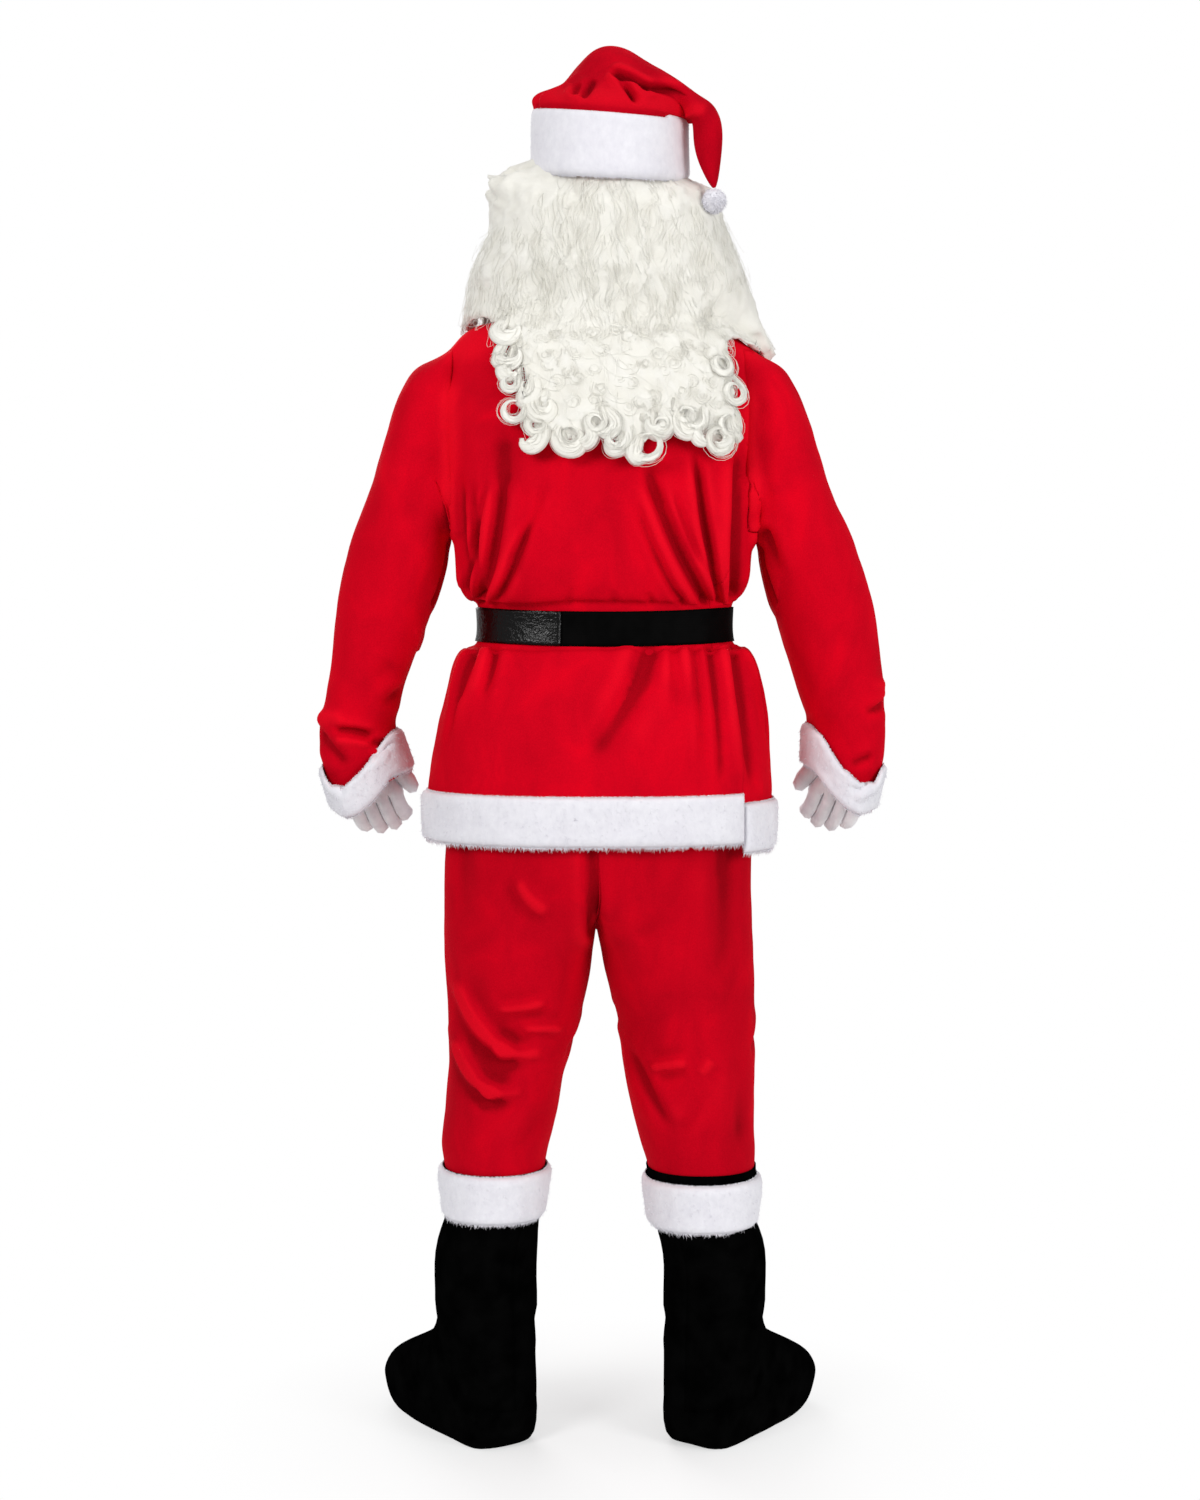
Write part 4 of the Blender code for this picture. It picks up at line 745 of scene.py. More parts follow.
def profile(row, points, normals):
    """How far a crease lifts each point: a trough with a soft ridge along either side."""
    sideways, facing = SIDES[row.side]
    place = np.column_stack([points[:, sideways], points[:, 2] + NECK_HEIGHT])
    start = np.array([row.x1, row.height1])
    end = np.array([row.x2, row.height2])
    chord = end - start
    aside = np.array([chord[1], -chord[0]]) / np.linalg.norm(chord) * row.bow
    t = np.linspace(0.0, 1.0, CREASE_POINTS)[:, None]
    line = (1 - t) ** 2 * start + 2 * t * (1 - t) * ((start + end) / 2 + 2 * aside) + t ** 2 * end
    nearest = np.full(len(place), np.inf)
    signed = np.zeros(len(place))
    along = np.zeros(len(place))
    for step, (a, b) in enumerate(zip(line, line[1:])):
        span = b - a
        share = np.clip((place - a) @ span / (span @ span), 0.0, 1.0)
        offset = place - (a + share[:, None] * span)
        distance = np.hypot(offset[:, 0], offset[:, 1])
        side = np.sign(span[0] * offset[:, 1] - span[1] * offset[:, 0])
        closer = distance < nearest
        nearest = np.where(closer, distance, nearest)
        signed = np.where(closer, distance * side, signed)
        along = np.where(closer, (step + share) / (len(line) - 1), along)
    across = signed / row.half_width
    form = sum(height * np.exp(-((across - middle) / width) ** 2)
               for height, middle, width in ACROSS)
    strength = row.start + (row.end - row.start) * along
    if row.start < 1:
        strength = strength * smooth_step(along, 0.0, FADE)
    if row.end < 1:
        strength = strength * smooth_step(1 - along, 0.0, FADE)
    if row.side in ("left", "right"):
        strength = strength * (np.abs(points[:, 0]) < BODY_HALF_WIDTH)
    return form * strength * row.depth * smooth_step(normals @ facing, *FACING)


# ---------------------------------------------------------------- fur
def blade_template():
    """A closed three-sided spike along +Z, one unit wide and long."""
    bm = bmesh.new()
    bmesh.ops.create_cone(bm, cap_ends=True, segments=3, radius1=1.0, radius2=0.0, depth=1.0)
    bmesh.ops.translate(bm, verts=bm.verts, vec=(0.0, 0.0, 0.5))
    bmesh.ops.remove_doubles(bm, verts=bm.verts, dist=1e-5)
    mesh = bpy.data.meshes.new("blade")
    bm.to_mesh(mesh)
    bm.free()
    return mesh


def strewn(name, template, placed):
    """One mesh of many copies of a template; placed holds (copies, points, 3)."""
    holder = bpy.data.objects.new(name, template)
    bpy.context.scene.collection.objects.link(holder)
    array = holder.modifiers.new("copies", "ARRAY")
    array.use_relative_offset = False
    array.count = len(placed)
    mesh = evaluated(holder)
    bpy.data.objects.remove(holder)
    write_points(mesh, placed.reshape(-1, 3))
    return mesh


def sample(bm, count, rng):
    """Points spread evenly over a bmesh, with the normals there."""
    faces = list(bm.faces)
    areas = np.array([face.calc_area() for face in faces])
    picks = rng.choice(len(faces), count, p=areas / areas.sum())
    shares = rng.random((count, 2))
    points = np.empty((count, 3))
    normals = np.empty((count, 3))
    for row, (index, (u, v)) in enumerate(zip(picks, shares)):
        verts = faces[index].verts
        a, b, c, d = verts[0], verts[1], verts[2], verts[3 % len(verts)]
        for out, key in ((points, "co"), (normals, "normal")):
            first = getattr(a, key).lerp(getattr(b, key), u)
            second = getattr(d, key).lerp(getattr(c, key), u)
            out[row] = first.lerp(second, v)
    return points, normals


def blades(points, directions, lengths, widths, rng):
    """The placed points of one spike at each point, turned at random about its direction."""
    template = read_points(BLADE)
    directions = directions / np.linalg.norm(directions, axis=1)[:, None]
    helper = np.where(np.abs(directions[:, 2:3]) < 0.9, [[0.0, 0.0, 1.0]], [[1.0, 0.0, 0.0]])
    first = np.cross(directions, helper)
    first /= np.linalg.norm(first, axis=1)[:, None]
    second = np.cross(directions, first)
    angle = rng.random(len(points)) * 2 * math.pi
    c, s = np.cos(angle)[:, None], np.sin(angle)[:, None]
    side, other = first * c + second * s, second * c - first * s
    x, y, z = template.T
    widths = np.broadcast_to(widths, len(points))[:, None, None]
    return (points[:, None] + side[:, None] * (x[None, :, None] * widths)
            + other[:, None] * (y[None, :, None] * widths)
            + directions[:, None] * (z[None, :, None] * lengths[:, None, None]))


PILE_LENGTHS, FRINGE_LENGTHS = (0.6, 1.3), (0.45, 1.25)       # shares of a blade's length
PILE_SPREAD, FRINGE_SPREAD = 0.28, 0.30       # how much the blades' directions differ
FRINGE_RISE = 0.35            # how far a fringe leans away from what it lies on
FRINGE_SHORTEST = 0.25        # the share left of a fringe where it doesn't hang down


def fringe(edges, pile, rng):
    """The blades along the edges of a patch, ragged and longest where they hang down."""
    spans = np.array([edge.calc_length() for edge in edges])
    count = int(spans.sum() * pile.fringe_per_m)
    picks = rng.choice(len(edges), count, p=spans / spans.sum())
    points = np.empty((count, 3))
    way = np.empty((count, 3))
    for row, index in enumerate(picks):
        edge = edges[index]
        first, second = edge.verts
        points[row] = first.co.lerp(second.co, rng.random())
        face = edge.link_faces[0]
        outward = points[row] - np.array(face.calc_center_median())
        way[row] = outward / np.linalg.norm(outward) + np.array(face.normal) * FRINGE_RISE
    way += rng.normal(0.0, FRINGE_SPREAD, way.shape)
    downward = np.clip(-way[:, 2], FRINGE_SHORTEST, 1.0)
    length = pile.fringe_length * rng.uniform(*FRINGE_LENGTHS, count) * downward
    return blades(points, way, length, pile.half_width, rng)


BLADE = blade_template()
Pile = namedtuple("Pile", "per_m2 length half_width lean fringe_per_m fringe_length")
ROOT_DEPTH = 0.0006           # how deep a blade's foot stands in the backing
DOWN = np.array([0.0, 0.0, -1.0])


def add_pile(name, bm, pile, seed):
    """Fur on a patch: short blades all over it and longer ones along its lower edges."""
    rng = np.random.default_rng(seed)
    area = sum(face.calc_area() for face in bm.faces)
    points, normals = sample(bm, int(area * pile.per_m2), rng)
    way = normals * (1 - pile.lean) + DOWN * pile.lean
    way += rng.normal(0.0, PILE_SPREAD, way.shape)
    length = pile.length * rng.uniform(*PILE_LENGTHS, len(points))
    placed = [blades(points - normals * ROOT_DEPTH, way, length, pile.half_width, rng)]
    edges = [edge for edge in bm.edges if edge.is_boundary]
    if edges:
        placed.append(fringe(edges, pile, rng))
    piece = to_object(name, strewn(name, BLADE, np.concatenate(placed)))
    piece.data.shade_flat()
    finish_piece(piece, PLUSH)


SPARSE = 1600                 # a band of fewer faces is made finer first
PLUSH_LUMPS = [(0.5, 0.022), (0.3, 0.009)]    # share and size


def plush_on(skin, node, height, edge, pile, seed, drop=None, extra=0.0, pressed=None):
    """A plush band peeled off a skin: arched across, lumpy, and covered with its fur.

    It reaches its height at a distance of edge from its rim.  A drop is a function of a
    point, for how far the band hangs lower there, and pressed is one of a height, for how
    much of its own height is left under a belt.
    """
    bm = skin.patch(skin.face_values(node) == 1, skin.points)
    if len(bm.faces) < SPARSE:
        bmesh.ops.subdivide_edges(bm, edges=bm.edges, cuts=1, use_grid_fill=True, smooth=0.6)
    bm.normal_update()
    rim = [vert for vert in bm.verts if vert.is_boundary]
    tree = KDTree(len(rim))
    for index, vert in enumerate(rim):
        tree.insert(vert.co, index)
    tree.balance()
    base = SEAM_GAP + PLUSH_BACKING + extra
    moves = []
    for vert in bm.verts:
        share = min(tree.find(vert.co)[2] / edge, 1.0)
        arch = math.sqrt(1 - (1 - share) ** 2)
        lump = sum((part * noise.noise(vert.co / size) for part, size in PLUSH_LUMPS), 0.75)
        full = height * arch * (0.85 + 0.3 * lump)
        if pressed:
            full *= pressed(vert.co.z + NECK_HEIGHT)
        lower = drop(vert.co) if drop else 0.0
        moves.append(vert.normal * (base + full) - Vector((0.0, 0.0, lower)))
    for vert, move in zip(bm.verts, moves):
        vert.co += move
    bm.normal_update()
    add_pile(node + "_pile", bm, pile, seed)
    finish_piece(to_object(node + "_plush", bm), PLUSH, [node], PLUSH_BACKING)


# ---------------------------------------------------------------- jacket
JACKET_PANELS = ["jacket_back", "jacket_front_left", "jacket_front_right",
                 "sleeve_left", "sleeve_right"]
JACKET_COVERS = ["hem_trim_back", "hem_trim_front_left", "hem_trim_front_right",
                 "front_trim", "cuff_trim_left", "cuff_trim_right", "belt_vinyl", "belt_satin"]
BODY_MIDDLE = -0.011          # sideways middle of the belted body
BODY_EDGE, SLEEVE_EDGE = 0.190, 0.215     # and how far from it the body ends, the sleeve begins
WAIST_HALF_WIDTH = 0.165
BELT_LOW, BELT_HIGH = 1.074, 1.122
BELT_HOLD = (-0.002, 0.010)   # past the belt's edges: the cloth is held to here, free from here
BELT_SAG = 0.005              # how far the belt dips in the middle of the back
VINYL_END = 0.0437            # the glossy strap ends here across the back
HEM_DROP = 0.012              # how far the front of the hem hangs below the back
HEM_SPREAD = 0.00096          # how far it stands off the back's
HEM_LOFT, CUFF_LOFT = 0.0055, 0.0060
TRIM_EDGE = 0.012             # how far in from its rim a trim's plush reaches its loft
SEAM_DEPTH = 0.0006
BAND_FUR = Pile(36000, 0.0042, 0.00050, 0.62, 1900, 0.0070)


def clear_of_belt(points):
    """0 under the belt, rising to 1 a little above and below it; sleeves move freely."""
    height = points[:, 2] + NECK_HEIGHT
    middle, half = (BELT_LOW + BELT_HIGH) / 2, (BELT_HIGH - BELT_LOW) / 2
    on_body = smooth_step(-np.abs(points[:, 0] - BODY_MIDDLE), -SLEEVE_EDGE, -BODY_EDGE)
    held = 1 - smooth_step(np.abs(height - middle), half + BELT_HOLD[0], half + BELT_HOLD[1])
    return 1 - held * on_body


def front_drop(point):
    """The front hangs lower than the back, most of all on the wearer's right."""
    return HEM_DROP * (1.0 - 0.80 * float(smooth_step(point.x, 0.02, 0.20)))


# Where the shoulder seams stand up beside the hair: sideways place, height and how far.
SHOULDER_RISES = [(0.185, 1.470, 0.0075), (0.146, 1.480, 0.0085), (-0.192, 1.470, 0.0075)]
SHOULDER_REACH = 0.034


def raise_shoulders(skin):
    """The shoulder seams stand up a little beside the hair."""
    for x, height, amount in SHOULDER_RISES:
        away = np.hypot(skin.plain[:, 0] - x, skin.plain[:, 2] + NECK_HEIGHT - height)
        skin.rise(amount * np.exp(-(away / SHOULDER_REACH) ** 2))


# Height and sideways place of the fold behind each armpit, from where it opens upwards.
ARMPIT_FOLDS = [
    [(1.202, 0.1920), (1.220, 0.1880), (1.235, 0.1915), (1.250, 0.1955), (1.260, 0.2000),
     (1.270, 0.2045), (1.285, 0.2080)],
    [(1.192, -0.2100), (1.220, -0.2110), (1.240, -0.2150), (1.260, -0.2130), (1.285, -0.2050)],
]
ARMPIT_TOP = (1.275, 1.295)   # the folds run out between these heights
FOLD_RISE = 0.018             # and are shut this far above their foot
FOLD_REACH = (0.004, 0.016)   # cloth nearer to a fold is shut, and farther away left as it is
BEHIND = (-0.040, 0.010)      # depth from the side of the body to its back
VALLEYS = (0.190, -0.199)     # sideways places of the hollows along the armholes
VALLEY_HALF_WIDTH, VALLEY_FILL = 0.013, 0.0075
VALLEY_FOOT, VALLEY_TOP = (1.235, 1.275), (1.370, 1.440)


def close_armpits(skin):
    """Brings body and sleeve together behind each armpit, where worn cloth bunches up."""
    height = skin.plain[:, 2] + NECK_HEIGHT
    behind = smooth_step(skin.plain[:, 1], *BEHIND)
    for fold in ARMPIT_FOLDS:
        foot = fold[0][0]
        there = smooth_step(height, foot, foot + FOLD_RISE) * (1 - smooth_step(height, *ARMPIT_TOP))
        middle = np.interp(height, *zip(*fold))
        away = skin.plain[:, 0] - middle
        kept = smooth_step(np.abs(away), *FOLD_REACH)
        skin.plain[:, 0] = middle + away * (1 - there * behind * (1 - kept))
    for x in VALLEYS:
        near = np.exp(-((skin.plain[:, 0] - x) / VALLEY_HALF_WIDTH) ** 2) * behind
        skin.rise(VALLEY_FILL * near * smooth_step(height, *VALLEY_FOOT)
                  * (1 - smooth_step(height, *VALLEY_TOP)))


# How far each cuff's upper and lower edge hangs below the plain one: sideways place, drops.
CUFF_SAG = {
    "cuff_trim_left": [(0.275, 0.000, -0.006), (0.283, 0.004, 0.004), (0.297, 0.018, 0.014),
                       (0.315, 0.034, 0.021), (0.335, 0.044, 0.022), (0.352, 0.036, 0.012),
                       (0.368, 0.014, 0.003), (0.385, 0.008, 0.000)],
    "cuff_trim_right": [(-0.395, 0.006, 0.000), (-0.383, 0.014, 0.004), (-0.370, 0.034, 0.012),
                        (-0.350, 0.040, 0.022), (-0.330, 0.034, 0.021), (-0.312, 0.018, 0.014),
                        (-0.300, 0.006, 0.006), (-0.290, 0.002, -0.004)],
}
BEHIND_HAND = (-0.030, 0.010)         # depth from the side of the hand to its back


def cuff_drop(skin, node):
    """How far a cuff sags at each point behind the hand: its upper edge, and its lower."""
    faces = skin.face_values(node) == 1
    on = {index for p, inside in zip(skin.mesh.polygons, faces) if inside for index in p.vertices}
    heights = skin.points[sorted(on)]
    slope, level = np.polyfit(heights[:, 0], heights[:, 2], 1)
    aside, upper, lower = zip(*CUFF_SAG[node])
    half = 0.5 * np.ptp(heights[:, 2] - slope * heights[:, 0])

    def drop(point):
        share = (point.z - slope * point.x - level) / half * 0.5 + 0.5
        share = min(max(share, 0.0), 1.0)
        behind = float(smooth_step(point.y, *BEHIND_HAND))
        top, bottom = np.interp(point.x, aside, upper), np.interp(point.x, aside, lower)
        return behind * float(bottom + (top - bottom) * share)

    return drop


# Triangles of each panel before it has its wall, which doubles them.
JACKET_TRIANGLES = {"jacket_back": 34000, "jacket_front_left": 17000,
                    "jacket_front_right": 17000, "sleeve_left": 19000, "sleeve_right": 19000}
PRESSED_SHARE = 0.12          # what is left of the front trim's loft under the belt
PRESSED_REACH = 0.012         # and how far from the belt it is whole again


def worn_jacket(levels):
    """The jacket's skin with all its creases, at a fineness."""
    skin = Skin(JACKET_PANELS, JACKET_COVERS, levels)
    freedom = clear_of_belt(skin.plain)
    close_armpits(skin)
    raise_shoulders(skin)
    skin.crease(JACKET_CREASES, freedom, strength=1.6)
    skin.ripple(0.0022, 0.075, freedom, seed=0.0)
    skin.ripple(0.0008, 0.028, freedom, seed=5.0)
    return skin


def make_jacket():
    fine = worn_jacket(4)
    for node in JACKET_PANELS:
        fine.panel_piece(node, VELOUR, "velour_red", VELOUR_WALL, JACKET_TRIANGLES[node])
    skin = worn_jacket(3)
    plush_on(skin, "hem_trim_back", HEM_LOFT, TRIM_EDGE, BAND_FUR, 11)
    for seed, node in enumerate(("hem_trim_front_left", "hem_trim_front_right"), 12):
        plush_on(skin, node, HEM_LOFT, TRIM_EDGE, BAND_FUR, seed, front_drop, HEM_SPREAD)
    for seed, node in enumerate(("cuff_trim_left", "cuff_trim_right"), 14):
        plush_on(skin, node, CUFF_LOFT, TRIM_EDGE, BAND_FUR, seed, cuff_drop(skin, node))

    def pressed(height):
        away = max(BELT_LOW - height, height - BELT_HIGH, 0.0)
        return PRESSED_SHARE + (1 - PRESSED_SHARE) * min(away / PRESSED_REACH, 1.0)

    plush_on(skin, "front_trim", HEM_LOFT, TRIM_EDGE, BAND_FUR, 16, pressed=pressed)
    make_belt(skin)
    return skin


STRAP_CLEAR = 0.0006          # what a strap stands off the cloth, past the gap of a seam
TRIM_CLEAR = 0.0012           # and past the backing of the front trim
TRIM_NEAR, TRIM_FADE = 0.008, 0.022       # a strap comes down off the trim from here, over this
STRAP_BULGE, STRAP_BULGE_SIZE = 0.0007, 0.030


def make_belt(skin):
    """The glossy and the plain strap, which ride over the front trim, on the plain skin."""
    trim = [p.center for p, on in zip(skin.mesh.polygons, skin.face_values("front_trim")) if on]
    tree = KDTree(len(trim))
    for index, centre in enumerate(trim):
        tree.insert(centre, index)
    tree.balance()
    belt = (skin.face_values("belt_vinyl") == 1) | (skin.face_values("belt_satin") == 1)
    middle = np.array([polygon.center for polygon in skin.mesh.polygons])
    behind = middle[:, 1] > 0.0
    glossy = np.where(behind, middle[:, 0] > VINYL_END, skin.face_values("belt_vinyl") == 1)
    strap = {"belt_vinyl": belt & glossy, "belt_satin": belt & ~glossy}
    for node, wall, material, slot in (("belt_vinyl", VINYL_WALL, VINYL, "vinyl_black"),
                                       ("belt_satin", SATIN_WALL, SATIN, "satin_black")):
        bm = skin.patch(strap[node], skin.plain)
        moves = []
        for vert in bm.verts:
            near = 1 - min(max((tree.find(vert.co)[2] - TRIM_NEAR) / TRIM_FADE, 0.0), 1.0)
            over_trim = (PLUSH_BACKING + TRIM_CLEAR) * near
            bulge = STRAP_BULGE * noise.noise(vert.co / STRAP_BULGE_SIZE)
            moves.append(vert.normal * (SEAM_GAP + STRAP_CLEAR + wall + over_trim + bulge))
        for vert, move in zip(bm.verts, moves):
            share = max(1 - ((vert.co.x - BODY_MIDDLE) / WAIST_HALF_WIDTH) ** 2, 0.0)
            vert.co += move - Vector((0.0, 0.0, BELT_SAG * share * (vert.co.y > 0)))
        finish_piece(to_object(node + "_strap", bm), material, [node], wall)


jacket = make_jacket()


# ---------------------------------------------------------------- trousers and boots
TROUSER_PANELS = ["trouser_back_left", "trouser_back_right", "trouser_front_left",
                  "trouser_front_right"]
TROUSER_TRIANGLES = 13000
TROUSER_HEM = (0.378, 0.410)  # the hem is held in the boot covers, and hangs freely above
WAISTBAND_WALL = 0.0024


def make_trousers():
    skin = Skin(TROUSER_PANELS, (), 4)
    height = skin.plain[:, 2] + NECK_HEIGHT
    freedom = smooth_step(height, *TROUSER_HEM)
    skin.crease(TROUSER_CREASES, freedom, strength=2.0)
    skin.ripple(0.0022, 0.085, freedom, seed=2.0)
    skin.ripple(0.0007, 0.030, freedom, seed=7.0)
    skin.sink_seams(SEAM_DEPTH)
    for node in TROUSER_PANELS:
        skin.panel_piece(node, TROUSER_VELOUR, "velour_red", VELOUR_WALL, TROUSER_TRIANGLES)
    band = to_object("trouser_waistband_cloth", outer_side("trouser_waistband"))
    finish_piece(band, TROUSER_VELOUR, ["trouser_waistband"], WAISTBAND_WALL)


BOOT_SOLE, BOOT_TOP = (0.010, 0.050), (0.290, 0.300)   # heights where a boot's creases fade
CUFF_SLIP = {"left": 0.0, "right": 0.012}     # how far each boot's cuff has slipped down
BOOT_TRIM_EDGE = 0.013


def make_boots(side, seed):
    panels = [f"boot_outer_{side}", f"boot_inner_{side}", f"boot_sole_{side}"]
    cuff = f"boot_cuff_{side}"
    skin = Skin(panels, [cuff], 2)
    height = skin.plain[:, 2] + NECK_HEIGHT
    freedom = smooth_step(height, *BOOT_SOLE) * (1 - smooth_step(height, *BOOT_TOP))
    skin.crease(BOOT_CREASES, freedom)
    skin.ripple(0.0018, 0.060, freedom, seed=3.0)
    skin.sink_seams(SEAM_DEPTH)
    for node in panels:
        skin.panel_piece(node, FELT, "felt_black", FELT_WALL)
    plush_on(skin, cuff, CUFF_LOFT, BOOT_TRIM_EDGE, BAND_FUR, seed, lambda point: CUFF_SLIP[side])


make_trousers()
make_boots("left", 21)
make_boots("right", 22)


# ---------------------------------------------------------------- hat
HAT_EDGE = [(-0.118, 1.758), (0.080, 1.777)]      # sideways place and height of its rolled edge
FOOT_BELOW = 0.004            # the foot of the roll below that edge
EDGE_LEAN, LEAN_FROM = 0.10, 0.02         # it is lower towards the back by this share, from here
ROLL_OUT, ROLL_DOWN, ROLL_HALF_WIDTH = 0.0085, 0.0050, 0.009
ROLL_ABOVE = 0.010            # the middle of the roll above its foot
CROWN_FREE = (1.758, 1.775)   # heights over which the crown comes free of its band
TAIL_SIDE = (-0.150, -0.125)  # the tail hangs outside the first of these
TIP_DROP = 0.008              # how far the tail's tip and its pom-pom hang lower
TIP_SPAN = (1.675, 1.720)
CROWN_TRIANGLES = 18000
BAND_DROP = [(1.690, 0.0055), (1.720, 0.0), (1.765, 0.0030)]   # height on the band, and its drop
BAND_LOFT, BAND_TRIM_EDGE = 0.0035, 0.010
FINE_FUR = Pile(30000, 0.0026, 0.0004, 0.6, 1300, 0.0028)
POMPOM_FUR = Pile(520000, 0.0044, 0.0006, 0.5, 0, 0.0)
POMPOM_FUR_REACH = 0.0028     # room for that fur around the ball
POMPOM_LUMP, POMPOM_LUMP_SIZE = 0.10, 0.012   # a share of its radius, and metres


def band_drop(point):
    return float(np.interp(point.z + NECK_HEIGHT, *zip(*BAND_DROP)))


def make_hat():
    skin = Skin(["hat_crown"], ["hat_band"], 4)
    height = skin.plain[:, 2] + NECK_HEIGHT
    foot = np.interp(skin.plain[:, 0], *zip(*HAT_EDGE)) - FOOT_BELOW
    foot = foot - EDGE_LEAN * (skin.plain[:, 1] - LEAN_FROM)
    freedom = smooth_step(height, *CROWN_FREE)
    skin.crease(HAT_CREASES, freedom, strength=2.0)
    skin.ripple(0.0030, 0.045, freedom, seed=4.0)
    beside = smooth_step(skin.plain[:, 0], *TAIL_SIDE)
    roll = np.exp(-((height - foot - ROLL_ABOVE) / ROLL_HALF_WIDTH) ** 2) * beside
    skin.rise(ROLL_OUT * roll)
    skin.points[:, 2] -= ROLL_DOWN * roll
    skin.points[:, 2] -= TIP_DROP * (1 - beside) * (1 - smooth_step(height, *TIP_SPAN))
    skin.panel_piece("hat_crown", HAT_VELOUR, "velour_red", VELOUR_WALL, CROWN_TRIANGLES)
    skin = Skin(["hat_crown"], ["hat_band"], 3)
    plush_on(skin, "hat_band", BAND_LOFT, BAND_TRIM_EDGE, FINE_FUR, 31, band_drop)


def make_pompom():
    low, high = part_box("hat_pompom")
    centre, radius = (low + high) / 2, (high.z - low.z) / 2
    bm = bmesh.new()
    bmesh.ops.create_icosphere(bm, subdivisions=4, radius=radius - POMPOM_FUR_REACH)
    for vert in bm.verts:
        vert.co *= 1 + POMPOM_LUMP * noise.noise(vert.co / POMPOM_LUMP_SIZE)
    bmesh.ops.translate(bm, verts=bm.verts, vec=centre - Vector((0.0, 0.0, TIP_DROP)))
    bm.normal_update()
    add_pile("hat_pompom_pile", bm, POMPOM_FUR, 32)
    ball = finish_piece(to_object("hat_pompom_ball", bm), PLUSH, ["hat_pompom"])


make_hat()
make_pompom()


# ---------------------------------------------------------------- gloves and buckle
KNIT_FLAT, KNIT_SHAPE = math.radians(40), math.radians(60)   # triangles that join to quads


def make_glove(side):
    """A glove from its whole solid, inner side too, with its edges rounded."""
    node = f"glove_{side}"
    cage = bmesh.new()
    cage.from_mesh(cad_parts[node].data)
    bmesh.ops.remove_doubles(cage, verts=cage.verts, dist=WELD)
    bmesh.ops.join_triangles(cage, faces=cage.faces, angle_face_threshold=KNIT_FLAT,
                             angle_shape_threshold=KNIT_SHAPE)
    finish_piece(to_object(node + "_knit", rounded(cage, 1)), KNIT, [node])


CAST_EDGE = 0.0009            # the rounding of the cast metal
FLAT_ANGLE = math.radians(2)


def make_metal(node):
    """A cast part of the buckle from its solid, with its edges rounded."""
    bm = bmesh.new()
    bm.from_mesh(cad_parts[node].data)
    bmesh.ops.remove_doubles(bm, verts=bm.verts, dist=WELD)
    bmesh.ops.dissolve_limit(bm, angle_limit=FLAT_ANGLE, verts=bm.verts, edges=bm.edges)
    metal = finish_piece(to_object(node + "_metal", bm), BRASS, [node])
    bevel = metal.modifiers.new("rounding", "BEVEL")
    bevel.width = CAST_EDGE
    bevel.segments = 3


make_glove("left")
make_glove("right")
make_metal("belt_buckle")
make_metal("belt_prong")


# ---------------------------------------------------------------- wig and beard
RINGS = 21                    # along each lock and each strand
LOCK_GIRTH, LOCK_LENGTH = 0.024, 0.090        # of the map that carries the hair's lines
CURL_PITCH = 0.0056           # between the turns of a curl
HAIR_RIM_ANGLE = math.radians(70)
HAIR_WALL = 0.004
HEAD_MIDDLE = -0.018          # sideways
TRIES = 6000                  # points from which an even spread is chosen
LEAVE_SHARE, LEAVE_GAP = 0.35, 0.0015     # a free lock hangs clear when it is farther off than
                                          # this share of its step and this gap


def tube_template(sides):
    """A closed tube along +Z, one unit long, with a map in metres for the hair's lines."""
    bm = bmesh.new()
    bmesh.ops.create_cone(bm, cap_ends=True, segments=sides, radius1=1.0, radius2=1.0, depth=1.0)
    bmesh.ops.translate(bm, verts=bm.verts, vec=(0.0, 0.0, 0.5))
    long_edges = [e for e in bm.edges if abs(e.verts[0].co.z - e.verts[1].co.z) > 0.5]
    bmesh.ops.subdivide_edges(bm, edges=long_edges, cuts=RINGS - 2)
    around = bm.loops.layers.uv.new("lock")
    for face in bm.faces:
        shares = [math.atan2(v.co.y, v.co.x) / math.tau % 1.0 for v in face.verts]
        if max(shares) - min(shares) > 0.5:
            shares = [share + 1.0 if share < 0.5 else share for share in shares]
        for loop, share in zip(face.loops, shares):
            loop[around].uv = (share * LOCK_GIRTH, loop.vert.co.z * LOCK_LENGTH)
    mesh = bpy.data.meshes.new("tube")
    bm.to_mesh(mesh)
    bm.free()
    return mesh


